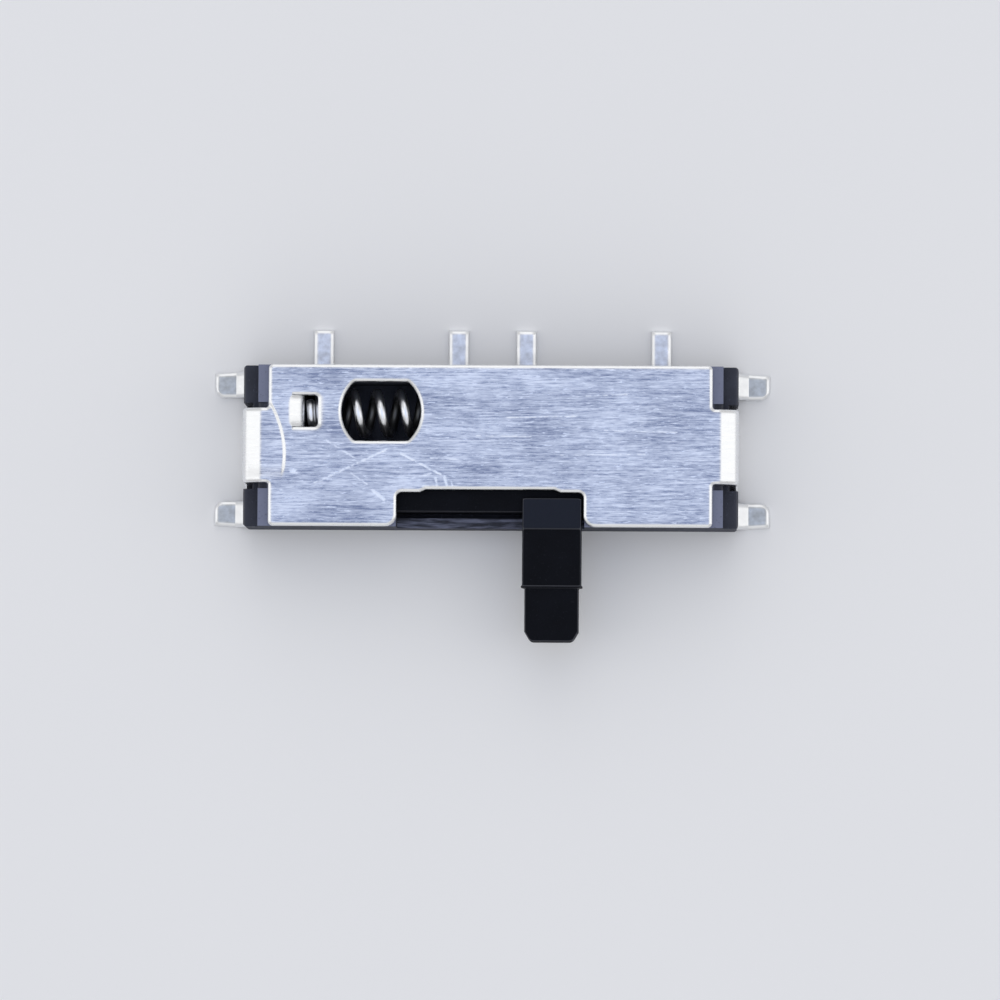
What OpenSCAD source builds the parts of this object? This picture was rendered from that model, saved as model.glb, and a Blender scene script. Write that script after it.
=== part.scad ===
// Surface-mount slide switch with a side knob and automatic spring return.
// Millimetres. The origin is the middle of the housing on the board plane.
// +X runs along the slide, +Y points to the terminals, +Z points up from the board.
// The slider is drawn where the spring holds it: against the stop at +X.

/* [Housing] */
// Length of the moulded housing over its end blocks
housing_l = 10.9; // [10.7:0.05:11.2]
// Depth of the housing from front wall to rear wall
housing_d = 3.55; // [3.5:0.01:3.65]
// Height of the housing walls above the board
housing_h = 1.8; // [1.78:0.01:1.9]
// Thickness of the floor under the slider
floor_t = 0.4; // [0.38:0.01:0.42]
// Thickness of the front wall
front_wall_t = 0.22; // [0.18:0.01:0.24]
// Thickness of the rear wall
rear_wall_t = 0.37; // [0.32:0.01:0.38]
// Height of the sill that the knob passes over
sill_h = 0.95; // [0.7:0.05:1]

/* [Cover] */
// Length of the flat top plate
plate_l = 9.75; // [9.6:0.05:9.85]
// Thickness of the sheet
sheet_t = 0.2; // [0.15:0.01:0.2]
// Width of the flaps that fold down over the ends
flap_w = 1.65; // [1.4:0.05:1.7]
// Width of the knob cut-out along the front edge
slot_w = 4.1; // [4.08:0.01:4.2]
// Depth of the knob cut-out from the front edge
slot_depth = 0.75; // [0.7:0.01:0.76]
// Diameter of the round-ended spring window
window_d = 1.75; // [1.5:0.05:1.8]
// Height of the spring window between its flats
window_flats = 1.3; // [1.1:0.05:1.4]

/* [Slider] */
// Travel of the knob
travel = 2.5; // [1.5:0.1:2.5]
// Width of the knob along the slide
knob_w = 1.3; // [1:0.05:1.3]
// Reach of the knob in front of the housing
knob_reach = 2.52; // [1.5:0.01:3.5]
// Thickness of the knob, board to sky
knob_t = 0.88; // [0.7:0.01:0.88]

/* [Spring] */
// Outer diameter of the return spring
spring_od = 1.1; // [1:0.01:1.1]
// Diameter of the spring wire
wire_d = 0.2; // [0.14:0.01:0.2]
// Open turns between the closed ends
open_turns = 7.75; // [6:0.25:8]

/* [Leads] */
// Pitch of the terminal grid
pitch = 1.5; // [1.45:0.01:1.55]
// Width of a terminal
lead_w = 0.45; // [0.35:0.01:0.45]
// Thickness of the lead sheet
lead_t = 0.15; // [0.1:0.01:0.15]
// Length of a terminal behind the housing
tail_l = 0.9; // [0.5:0.05:1.5]
// Width of a solder foot
foot_w = 0.6; // [0.4:0.05:0.6]
// Reach of a solder foot beyond the end of the housing
foot_reach = 0.72; // [0.5:0.01:1]

/* [Hidden] */
$fn = 48;

// Cutters run past the faces that they open by this much
over = 0.1;
// Half sizes of the housing
half_l = housing_l / 2;
half_d = housing_d / 2;
front_y = -half_d;
rear_y = half_d;
cover_top = housing_h + sheet_t;

// Cavity: a slider channel in front and a spring channel behind it
channel_half_l = 4.6;
stop_gap = 0.02;
cavity_front = front_y + front_wall_t;
cavity_rear = rear_y - rear_wall_t;
channel_split = 0.06;
spring_floor = floor_t + 0.1;

// End blocks, the recess between them that takes a flap, and the lower outer ledge of each block
recess_w = flap_w + 0.25;
flap_out = half_l + 0.01;
flap_in = flap_out - sheet_t;
ledge_w = 0.34;
ledge_h = housing_h - 0.3;
ledge_r = 0.1;
housing_corner_r = 0.08;
flap_bend_in = 0.22;
flap_bend_out = flap_bend_in + sheet_t;
hook_bend_in = 0.15;
hook_bend_out = hook_bend_in + sheet_t;
hook_z = 0.1;
hook_reach = 0.4;
hook_room = 0.05;
ear_w = 0.1;
ear_z = 0.55;
ear_h = 0.3;

// Knob cut-out of the cover
slot_corner_r = 0.12;
slot_mouth_r = 0.25;
slot_relief_w = 2.95;
slot_relief = 0.06;
slot_half = slot_w / 2;
slot_rear = front_y + slot_depth;

// Spring line, seat and window
spring_y = 0.75;
spring_z = spring_floor + spring_od / 2 + 0.05;
seat_x = -4.1;
window_x = -2.4;
spring_gap = 0.01;

// Lanced tab of the cover that holds the fixed end of the spring
tab_w = 0.77;
tab_bend_in = 0.16;
tab_bend_out = tab_bend_in + sheet_t;
tab_bend_x = seat_x - tab_bend_out;
tab_end_z = 1.3;
tab_slit = 0.015;
tab_hole_end = -3.69;
tab_hole_r = 0.12;
tab_room = 0.08;

// Slider at rest, against its stop at +X
bar_right = channel_half_l - stop_gap;
bar_left = travel - channel_half_l + stop_gap;
bar_front = cavity_front + 0.115;
bar_rear = 0;
bar_low = floor_t + 0.22;
bar_high = housing_h - 0.08;
lug_left = 0.9;
lug_l = 1.5;
lug_rear = cavity_rear - 0.075;
lug_low = spring_floor + 0.08;
pilot_r = spring_od / 2 - wire_d - 0.07;
pilot_l = 0.5;
skid_gap = 0.03;
skid_l = 0.6;
skid_w = 0.25;

// Knob: a root over the sill, a shank, a parting ridge and a narrower tip
knob_x = slot_half - 0.04 - knob_w / 2;
knob_low = sill_h + 0.1;
root_rear = slot_rear - 0.115;
root_top = knob_low + knob_t;
shank_drop = 0.05;
shank_ramp = 0.08;
tip_inset = 0.055;
tip_drop = 0.09;
tip_share = 0.48;
tip_cut_x = 0.13;
tip_cut_y = 0.22;
tip_edge_r = 0.08;
ridge = 0.03;
ridge_l = 0.05;
tip_y = front_y - knob_reach;
ridge_y = tip_y + tip_share * knob_reach;

// Spring ends and pitch
spring_start = seat_x + spring_gap;
spring_end = lug_left - spring_gap;
closed_turns = 1.75;
closed_pitch = wire_d * 1.025;
coil_r = (spring_od - wire_d) / 2;
coil_phase = 0.162;
wire_sides = 8;
wire_steps = 16;
all_turns = open_turns + 2 * closed_turns;
open_pitch = (spring_end - spring_start - wire_d - 2 * closed_turns * closed_pitch) / open_turns;

// Leads: pads flush with the slider floor, a jog in the rear wall, tails on the board
lead_xs = [for (k = [-2.5, -0.5, 0.5, 2.5]) k * pitch];
pad_low = floor_t - lead_t;
jog_start = 1.2;
jog_in = (pad_low - lead_t) / 2;
jog_out = jog_in + lead_t;
tail_end = rear_y + tail_l;
rail_front = -1.3;
rail_rear = -1;
rail_right = 2.1;
throw_front = -0.7;
throw_rear = -0.4;
left_pad_start = -1.6;
middle_pad_start = -0.35;
right_pad_start = 1.15;

// Solder feet
foot_y = half_d - 0.025 - foot_w / 2;
foot_bend_in = 0.075;
foot_bend_out = foot_bend_in + lead_t;
foot_root = half_l - 0.5;
foot_bend_x = half_l - 0.1;
foot_tip = half_l + foot_reach;
foot_corner_r = 0.22;
foot_taper = 0.06;

// Wiper on the underside of the slider
wiper_t = 0.08;
wiper_gap = 0.02;
wiper_left = 1.9;
wiper_right = 3.3;
wiper_front = -1.35;
wiper_rear = -0.35;
arm_w = 0.24;
arm_touch_x = 1.35;
arm_tip_x = 1.05;
arm_tip_rise = 0.1;
stake_xs = [2.3, 2.9];
stake_r = 0.12;
stake_room = 0.01;
stake_head_r = 0.19;
stake_head_t = 0.06;

// A box between two opposite corners
module box(low, high) {
    translate(low) cube(high - low);
}

// A flat shape drawn in Y and Z, carried along X from x0 to x1
module along_x(x0, x1) {
    translate([x0, 0, 0]) rotate([90, 0, 90]) linear_extrude(x1 - x0) children();
}

// A flat shape drawn in X and Z, carried along Y from y0 to y1
module along_y(y0, y1) {
    translate([0, y1, 0]) rotate([90, 0, 0]) linear_extrude(y1 - y0) children();
}

// The same shape at both ends of the switch, drawn at +X
module both_ends() {
    children();
    mirror([1, 0, 0]) children();
}

// A quarter of a ring between two radii, in the corner that sx and sy point to
module quarter_ring(r_in, r_out, sx, sy) {
    intersection() {
        difference() {
            circle(r_out);
            circle(r_in);
        }
        translate([sx > 0 ? 0 : -r_out, sy > 0 ? 0 : -r_out]) square(r_out);
    }
}

// The square corner outside a fillet of radius r, with its point at the origin and its body towards sx, sy
module corner_outside(r, sx, sy) {
    difference() {
        translate([sx > 0 ? 0 : -r, sy > 0 ? 0 : -r]) square(r);
        translate([sx * r, sy * r]) circle(r);
    }
}

// A rectangle about the origin with round corners
module round_rect(l, d, r) {
    difference() {
        square([l, d], center = true);
        for (sx = [-1, 1], sy = [-1, 1]) translate([sx * l / 2, sy * d / 2])
            corner_outside(r, -sx, -sy);
    }
}

// Housing: open tray, moulded round the leads
module housing() {
    color("#2a2a30") difference() {
        housing_body();
        slider_channel();
        spring_channel();
        knob_notch();
        both_ends() flap_recess();
        tab_pocket();
        leads();
    }
}

// Outer form: a round-cornered plan and a stepped side profile carried through each other
module housing_body() {
    intersection() {
        linear_extrude(housing_h) round_rect(housing_l, housing_d, housing_corner_r);
        along_y(front_y, rear_y) both_ends() housing_profile();
    }
}

// Right half of the side profile, with the lower ledge at its end
module housing_profile() {
    difference() {
        union() {
            square([half_l, ledge_h]);
            square([half_l - ledge_w, housing_h]);
        }
        translate([half_l, ledge_h]) corner_outside(ledge_r, -1, -1);
    }
}

module slider_channel() {
    box([-channel_half_l, cavity_front, floor_t],
        [channel_half_l, channel_split, housing_h + over]);
}

module spring_channel() {
    box([seat_x, channel_split - over, spring_floor],
        [channel_half_l, cavity_rear, housing_h + over]);
}

// The front wall is cut down to a sill where the knob passes
module knob_notch() {
    notch_half = slot_half + 0.02;
    box([-notch_half, front_y - over, sill_h],
        [notch_half, cavity_front + over, housing_h + over]);
}

// Recess in the end face for a flap, with a relief for its bend and a pocket for its hook
module flap_recess() {
    relief = flap_bend_out + 0.05;
    along_y(-recess_w / 2, recess_w / 2) {
        translate([flap_in, -over]) square([sheet_t + over, housing_h + 2 * over]);
        translate([flap_in - hook_reach - hook_room, -over])
            square([hook_reach + sheet_t, hook_z + sheet_t + hook_room + over]);
        translate([flap_in - relief, housing_h - relief]) difference() {
            square(relief + over);
            circle(relief - 0.01);
        }
    }
}

// Pocket behind the spring seat for the tab of the cover
module tab_pocket() {
    box([tab_bend_x - tab_room, spring_y - tab_w / 2 - tab_room, tab_end_z - tab_room],
        [seat_x + over, spring_y + tab_w / 2 + tab_room, housing_h + over]);
}

// Cover: one stamped sheet with a flap at each end and a tab lanced down for the spring
module cover() {
    color("#c8ccd6") union() {
        translate([0, 0, housing_h]) linear_extrude(sheet_t) difference() {
            cover_blank();
            knob_cutout();
            spring_window();
            tab_hole();
        }
        both_ends() end_flap();
        spring_tab();
    }
}

module cover_blank() {
    stub = flap_out - flap_bend_out;
    square([plate_l, housing_d], center = true);
    square([2 * stub, flap_w], center = true);
}

// Cut-out with round inner corners, a shallow relief in its rear edge and a rounded mouth
module knob_cutout() {
    difference() {
        translate([-slot_half, front_y - over]) square([slot_w, slot_depth + over]);
        for (s = [-1, 1]) translate([s * slot_half, slot_rear])
            corner_outside(slot_corner_r, -s, -1);
    }
    translate([-slot_relief_w / 2, slot_rear - slot_corner_r])
        square([slot_relief_w, slot_corner_r + slot_relief]);
    for (s = [-1, 1]) translate([s * slot_half, front_y])
        corner_outside(slot_mouth_r, s, 1);
}

module spring_window() {
    translate([window_x, spring_y]) intersection() {
        circle(d = window_d);
        square([window_d, window_flats], center = true);
    }
}

// Hole left by the tab: two slits beside its bend and a round-cornered opening in front of it
module tab_hole() {
    half = tab_w / 2 + tab_slit;
    translate([0, spring_y]) difference() {
        translate([tab_bend_x, -half]) square([tab_hole_end - tab_bend_x, 2 * half]);
        for (s = [-1, 1]) translate([tab_hole_end, s * half])
            corner_outside(tab_hole_r, -1, -s);
    }
}

// Flap folded over the end of the housing, with an ear on each side and a hook under the floor
module end_flap() {
    bend_x = flap_out - flap_bend_out;
    bend_z = cover_top - flap_bend_out;
    hook_bend_x = flap_out - hook_bend_out;
    hook_bend_z = hook_z + hook_bend_out;
    along_y(-flap_w / 2, flap_w / 2) {
        translate([bend_x, bend_z]) quarter_ring(flap_bend_in, flap_bend_out, 1, 1);
        translate([flap_in, hook_bend_z]) square([sheet_t, bend_z - hook_bend_z]);
        translate([hook_bend_x, hook_bend_z]) quarter_ring(hook_bend_in, hook_bend_out, 1, -1);
        translate([flap_in - hook_reach, hook_z])
            square([hook_bend_x - flap_in + hook_reach, sheet_t]);
    }
    box([flap_in, -flap_w / 2 - ear_w, ear_z], [flap_out, flap_w / 2 + ear_w, ear_z + ear_h]);
}

module spring_tab() {
    bend_z = cover_top - tab_bend_out;
    along_y(spring_y - tab_w / 2, spring_y + tab_w / 2) {
        translate([tab_bend_x, bend_z]) quarter_ring(tab_bend_in, tab_bend_out, 1, 1);
        translate([seat_x - sheet_t, tab_end_z]) square([sheet_t, bend_z - tab_end_z]);
    }
}

// Slider: guided bar, spring lug with its pilot, and the knob, moulded in one
module slider() {
    color("#1e1f23") union() {
        box([bar_left, bar_front, bar_low], [bar_right, bar_rear, bar_high]);
        spring_lug();
        skids();
        stakes();
        knob();
    }
}

module spring_lug() {
    box([lug_left, bar_rear - over, lug_low], [lug_left + lug_l, lug_rear, bar_high]);
    translate([lug_left - pilot_l, spring_y, spring_z]) rotate([0, 90, 0])
        cylinder(r = pilot_r, h = pilot_l + over);
}

// Low runners under the ends of the bar
module skids() {
    for (x = [bar_left, bar_right - skid_l])
        box([x, bar_rear - skid_w, floor_t + skid_gap], [x + skid_l, bar_rear, bar_low + over]);
}

// Heat-staked pegs that hold the wiper
module stakes() {
    for (x = stake_xs) translate([x, (wiper_front + wiper_rear) / 2, 0]) {
        translate([0, 0, bar_low - wiper_t - stake_head_t])
            cylinder(r = stake_r, h = wiper_t + stake_head_t + over);
        translate([0, 0, bar_low - wiper_t - stake_head_t])
            cylinder(r = stake_head_r, h = stake_head_t);
    }
}

// Knob: a plan outline and a side profile carried through each other, with a parting ridge
module knob() {
    translate([knob_x, 0, 0]) {
        intersection() {
            translate([0, 0, knob_low]) linear_extrude(knob_t) knob_plan();
            along_x(-knob_w / 2, knob_w / 2) knob_side();
        }
        box([-knob_w / 2 - ridge, ridge_y - ridge_l / 2, knob_low - ridge],
            [knob_w / 2 + ridge, ridge_y + ridge_l / 2, root_top - shank_drop + ridge]);
    }
}

// Plan: full width to the ridge, then the narrower tip with cut corners
module knob_plan() {
    half = knob_w / 2 - tip_inset;
    translate([-knob_w / 2, ridge_y]) square([knob_w, root_rear - ridge_y]);
    polygon([
        [-half, ridge_y], [-half, tip_y + tip_cut_y], [tip_cut_x - half, tip_y],
        [half - tip_cut_x, tip_y], [half, tip_y + tip_cut_y], [half, ridge_y]
    ]);
}

// Side: the root, a small ramp to the shank, a step at the ridge and a tip with round edges
module knob_side() {
    tip_top = root_top - tip_drop;
    tip_low = knob_low + tip_inset;
    difference() {
        polygon([
            [root_rear, knob_low], [root_rear, root_top], [front_y, root_top],
            [front_y - shank_ramp, root_top - shank_drop], [ridge_y, root_top - shank_drop],
            [ridge_y, tip_top], [tip_y, tip_top], [tip_y, tip_low],
            [ridge_y, tip_low], [ridge_y, knob_low]
        ]);
        translate([tip_y, tip_top]) corner_outside(tip_edge_r, 1, -1);
        translate([tip_y, tip_low]) corner_outside(tip_edge_r, 1, 1);
    }
}

// Return spring: right-hand coil with closed ends, swept along X
function coil_x(t) = spring_start + wire_d / 2
    + min(t, closed_turns) * closed_pitch
    + min(max(t - closed_turns, 0), open_turns) * open_pitch
    + max(t - closed_turns - open_turns, 0) * closed_pitch;
function coil_angle(t) = 360 * (t + coil_phase);
function coil_out(t) = [0, cos(coil_angle(t)), sin(coil_angle(t))];
function coil_point(t) = [coil_x(t), spring_y, spring_z] + coil_r * coil_out(t);
function unit(v) = v / norm(v);
function wire_ring(t, dt) =
    let (ahead = unit(coil_point(t + dt) - coil_point(t - dt)), side = cross(ahead, coil_out(t)))
    [for (k = [0 : wire_sides - 1]) let (a = 360 * k / wire_sides)
        coil_point(t) + wire_d / 2 * (cos(a) * coil_out(t) + sin(a) * side)];

module return_spring() {
    steps = round(all_turns * wire_steps);
    points = [for (i = [0 : steps]) each wire_ring(i * all_turns / steps, 0.001)];
    walls = [for (i = [0 : steps - 1], k = [0 : wire_sides - 1])
        let (next = (k + 1) % wire_sides, a = i * wire_sides, b = a + wire_sides)
        [a + k, b + k, b + next, a + next]];
    first_cap = [for (k = [0 : wire_sides - 1]) k];
    last_cap = [for (k = [wire_sides - 1 : -1 : 0]) steps * wire_sides + k];
    color("#d9dade") polyhedron(points, concat([first_cap, last_cap], walls));
}

// Wiper: springy bridge between the common rail and one throw pad
module wiper() {
    color("#c9b07a") difference() {
        union() {
            box([wiper_left, wiper_front, bar_low - wiper_t], [wiper_right, wiper_rear, bar_low]);
            for (y = [(rail_front + rail_rear) / 2, (throw_front + throw_rear) / 2])
                along_y(y - arm_w / 2, y + arm_w / 2) arm_profile();
        }
        for (x = stake_xs) translate([x, (wiper_front + wiper_rear) / 2, bar_low - wiper_t - over])
            cylinder(r = stake_r + stake_room, h = wiper_t + 2 * over);
    }
}

// Arm from the base down to its touching point, then up at the tip
module arm_profile() {
    touch_z = floor_t + wiper_gap;
    polygon([
        [wiper_left, bar_low - wiper_t], [wiper_left, bar_low],
        [arm_touch_x, touch_z + wiper_t], [arm_tip_x, touch_z + wiper_t + arm_tip_rise],
        [arm_tip_x, touch_z + arm_tip_rise], [arm_touch_x, touch_z]
    ]);
}

// Every lead, as the housing is moulded round them
module leads() {
    common_terminal();
    left_terminal();
    middle_terminal();
    right_terminal();
    for (end = [-1, 1], side = [-1, 1]) solder_foot(end, side);
}

// Tail: down from pad level in an S-bend inside the housing, then flat on the board
module lead_tail(x) {
    along_x(x - lead_w / 2, x + lead_w / 2) {
        s_bend(jog_start, jog_in, jog_out);
        translate([jog_start + jog_in + jog_out, 0])
            square([tail_end - jog_start - jog_in - jog_out, lead_t]);
    }
}

// Two quarter bends, from a strip that ends at x0 down to the same strip on the board
module s_bend(x0, r_in, r_out) {
    translate([x0, r_out]) quarter_ring(r_in, r_out, 1, 1);
    translate([x0 + r_in + r_out, r_out]) quarter_ring(r_in, r_out, -1, -1);
}

// Strip at pad level from y0 back to the jog
module lead_run(x, y0) {
    box([x - lead_w / 2, y0, pad_low], [x + lead_w / 2, jog_start, floor_t]);
}

module lead_pad(x0, x1, y0, y1) {
    box([x0, y0, pad_low], [x1, y1, floor_t]);
}

module common_terminal() {
    x = lead_xs[0];
    color("#d8d3c6") union() {
        lead_pad(x - lead_w / 2, rail_right, rail_front, rail_rear);
        lead_run(x, rail_front);
        lead_tail(x);
    }
}

module left_terminal() {
    x = lead_xs[1];
    color("#d8d3c6") union() {
        lead_pad(left_pad_start, x + lead_w / 2, throw_front, throw_rear);
        lead_run(x, throw_front);
        lead_tail(x);
    }
}

module middle_terminal() {
    x = lead_xs[2];
    color("#d8d3c6") union() {
        lead_pad(middle_pad_start, x + lead_w / 2, throw_front, throw_rear);
        lead_run(x, throw_front);
        lead_tail(x);
    }
}

module right_terminal() {
    x = lead_xs[3];
    color("#d8d3c6") union() {
        lead_pad(right_pad_start, x + lead_w / 2, throw_front, throw_rear);
        lead_run(x, throw_front);
        lead_tail(x);
    }
}

// Solder foot at one end and side: a strip held in the block, bent down to the board
module solder_foot(end, side) {
    color("#d8d3c6") intersection() {
        along_y(side * foot_y - foot_w / 2, side * foot_y + foot_w / 2)
            mirror([end < 0 ? 1 : 0, 0]) foot_profile();
        linear_extrude(housing_h) foot_plan(end, side);
    }
}

module foot_profile() {
    rise = foot_bend_in + foot_bend_out;
    translate([foot_root, rise]) square([foot_bend_x - foot_root, lead_t]);
    s_bend(foot_bend_x, foot_bend_in, foot_bend_out);
    translate([foot_bend_x + rise, 0]) square([foot_tip - foot_bend_x - rise, lead_t]);
}

// Plan of a foot: tapered, square at its outer corner, round at the corner that faces the other foot
module foot_plan(end, side) {
    inner = side * (foot_y - foot_w / 2);
    outer = side * (foot_y + foot_w / 2);
    difference() {
        translate([end > 0 ? foot_root : -foot_tip, side * foot_y - foot_w / 2])
            square([foot_tip - foot_root, foot_w]);
        translate([end * foot_tip, inner]) corner_outside(foot_corner_r, -end, side);
        polygon([
            [end * foot_bend_x, outer], [end * foot_tip, outer],
            [end * foot_tip, outer - side * foot_taper]
        ]);
    }
}

housing();
cover();
slider();
return_spring();
wiper();
common_terminal();
left_terminal();
middle_terminal();
right_terminal();
solder_foot(-1, 1);  // left_rear_foot
solder_foot(-1, -1);  // left_front_foot
solder_foot(1, 1);  // right_rear_foot
solder_foot(1, -1);  // right_front_foot
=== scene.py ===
"""Dresses a surface-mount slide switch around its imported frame.

The stamped cover, the moulded slider, the return spring and the leads are surfaces worked out as
whole arrays in millimetres, and written to their meshes in metres. The housing is the frame's own
solid with its outer edges rounded.
"""

import math

import bmesh
import bpy
import numpy as np
from bpy.props import FloatProperty, FloatVectorProperty, PointerProperty
from mathutils import Matrix, Vector


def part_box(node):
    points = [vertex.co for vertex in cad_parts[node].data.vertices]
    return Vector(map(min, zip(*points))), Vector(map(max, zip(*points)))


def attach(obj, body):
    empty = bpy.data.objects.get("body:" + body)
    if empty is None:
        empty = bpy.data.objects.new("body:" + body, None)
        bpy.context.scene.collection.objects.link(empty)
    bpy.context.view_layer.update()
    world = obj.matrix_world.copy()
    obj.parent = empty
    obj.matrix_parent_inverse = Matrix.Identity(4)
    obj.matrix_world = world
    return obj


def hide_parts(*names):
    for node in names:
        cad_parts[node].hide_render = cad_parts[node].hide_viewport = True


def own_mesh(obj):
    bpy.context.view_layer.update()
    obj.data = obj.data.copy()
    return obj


bl_info = {
    "name": "Slide Switch",
    "version": (1, 0, 0),
    "blender": (4, 5, 0),
    "location": "View3D > Sidebar > Slide Switch",
    "description": "Makes the pieces of a surface-mount slide switch with automatic return",
    "category": "Add Mesh",
}

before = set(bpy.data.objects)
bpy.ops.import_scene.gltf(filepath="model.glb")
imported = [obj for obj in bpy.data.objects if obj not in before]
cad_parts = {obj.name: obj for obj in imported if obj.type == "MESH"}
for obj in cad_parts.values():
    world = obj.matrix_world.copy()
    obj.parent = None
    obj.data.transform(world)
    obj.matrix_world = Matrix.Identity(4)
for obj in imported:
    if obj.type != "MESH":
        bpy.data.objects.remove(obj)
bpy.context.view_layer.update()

MM = 0.001
BASE = "switch_base"
MOVING = "slider_unit"


def linear(hex_colour):
    """sRGB hex to linear: c / 12.92 near black, and ((c + 0.055) / 1.055) to the power 2.4 above."""
    srgb = np.array([int(hex_colour[i:i + 2], 16) / 255 for i in (1, 3, 5)])
    return tuple(np.where(srgb <= 0.04045, srgb / 12.92, ((srgb + 0.055) / 1.055) ** 2.4))


def mm_box(name):
    """Lowest and highest corner of a frame node, in millimetres."""
    low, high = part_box(name)
    return np.array(low) / MM, np.array(high) / MM


COVER_TOP = mm_box("cover")[1][2]
HOUSING_LOW, HOUSING_HIGH = mm_box("housing")
SLIDER_LOW, SLIDER_HIGH = mm_box("slider")
SPRING_LOW, SPRING_HIGH = mm_box("return_spring")


def length(name, description, default_mm):
    """A length property in metres, from a default in millimetres."""
    return FloatProperty(name=name, description=description, default=default_mm * MM,
                         min=0.0, precision=6, subtype="DISTANCE", unit="LENGTH")


def colour(name, description, hex_colour):
    """A colour property, from an sRGB hex default."""
    return FloatVectorProperty(name=name, description=description, default=linear(hex_colour),
                               size=3, min=0.0, max=1.0, subtype="COLOR")


class SwitchSizes(bpy.types.PropertyGroup):
    """Sizes of the finer forms that the frame leaves plain."""
    sheet: length("Sheet", "Thickness of the cover's sheet", 0.2)
    roll_width: length("Edge roll width", "How far a punched edge rolls in", 0.1)
    roll_height: length("Edge roll height", "How far a punched edge rolls down", 0.06)
    emboss: length("Emboss", "Depth of the step beside the left flap", 0.03)
    lead: length("Lead", "Thickness of the lead strip", 0.15)
    lead_roll: length("Lead edge roll", "How far a lead's edge rolls in", 0.11)
    wire: length("Wire", "Diameter of the spring wire", 0.2)
    housing_edge: length("Housing edge", "Radius on the housing's outer edges", 0.035)
    knob_edge: length("Knob edge", "Radius on the knob's long edges", 0.06)


class SwitchColours(bpy.types.PropertyGroup):
    """Colours of the finishes."""
    steel: colour("Steel", "Bright lines of the cover", "#E4E6EC")
    steel_dark: colour("Steel, dark lines", "Dark lines of the cover", "#858B9E")
    # Partly burnish of rolled edges and scratches, partly a painted highlight on the bends and all tilted
    # faces
    bright_edges_and_highlight: colour("Burnished edges", "Rolled edges, bends and scratches of the metal", "#EEEFF0")
    tin: colour("Tin", "Plating of the terminals", "#DCDDE2")
    tin_dull: colour("Tin, dull", "Plating of the solder feet", "#C4C4C1")
    wire: colour("Wire", "Spring wire", "#F0F1F3")
    bronze: colour("Bronze", "Wiper", "#B98C4E")
    housing: colour("Housing", "Moulded housing", "#3A3D49")
    # Painted sheen: the tops of the corner blocks take this paler tone for the light they catch; the streaks
    # on the sill are the plastic's own
    housing_painted_sheen_and_streaks: colour("Housing, rubbed", "Tops of the corner blocks and streaks on the sill", "#767B91")
    slider: colour("Slider", "Moulded slider", "#0D0F16")
    # Painted sheen: the top of the knob's root takes this paler tone for the light it catches
    slider_painted_sheen: colour("Slider, rubbed", "Top of the knob's root", "#20242F")
    # Painted highlight: the tone of the mouldings' rounded edges
    plastic_edge_highlight: colour("Plastic edges", "Highlit edges of the mouldings", "#525359")
    floor: colour("Floor", "Floor under the switch", "#EEEEEF")


def sizes():
    """The size properties in millimetres, by name."""
    group = bpy.context.scene.slide_switch_sizes
    return {key: getattr(group, key) / MM for key in SwitchSizes.__annotations__}


def colours():
    """The colour properties, which are linear."""
    return bpy.context.scene.slide_switch_colours


# Meshes, in millimetres

# Angle from which an edge is sharp, and shares of a side: for a flat's extra points, and at most for a corner
SHARP = math.radians(50)
SIDE_HOLD = 0.05
CORNER_MOST = 0.98


def new_piece(name, mesh, material, body, slot, *nodes):
    """Links a finished mesh as a piece that rides on a body and stands for frame nodes."""
    mesh.materials.append(material)
    piece = bpy.data.objects.new(name, mesh)
    bpy.context.scene.collection.objects.link(piece)
    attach(piece, body)
    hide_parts(*nodes)
    return piece


def smoothed(mesh):
    """Turns a closed mesh's faces outwards and shades it smooth, apart from its sharp edges."""
    made = bmesh.new()
    made.from_mesh(mesh)
    bmesh.ops.recalc_face_normals(made, faces=made.faces)
    made.to_mesh(mesh)
    made.free()
    mesh.shade_smooth()
    mesh.set_sharp_from_angle(angle=SHARP)
    mesh.update()
    return mesh


def mesh_from(name, points, faces):
    """A closed, smooth-shaded mesh from points in millimetres."""
    mesh = bpy.data.meshes.new(name)
    mesh.from_pydata(points * MM, [], faces)
    return smoothed(mesh)


def ring_faces(rows, around):
    """Quads between neighbouring rows of a grid that closes on itself around each row."""
    i, j = np.meshgrid(np.arange(rows - 1), np.arange(around), indexing="ij")
    k = (j + 1) % around
    quads = np.stack([i * around + j, i * around + k, (i + 1) * around + k, (i + 1) * around + j], -1)
    return quads.reshape(-1, 4).tolist()


def tube(rings):
    """Points and faces of a closed loft: rings of points in order, with a flat cap at each end."""
    rows, around = rings.shape[:2]
    faces = ring_faces(rows, around)
    faces.append(list(range(around))[::-1])
    faces.append([(rows - 1) * around + j for j in range(around)])
    return rings.reshape(-1, 3), faces


def joined(parts):
    """Several (points, faces) pairs as one."""
    points, faces, start = [], [], 0
    for part_points, part_faces in parts:
        points.append(part_points)
        faces.extend([[index + start for index in face] for face in part_faces])
        start += len(part_points)
    return np.concatenate(points), faces


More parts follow.
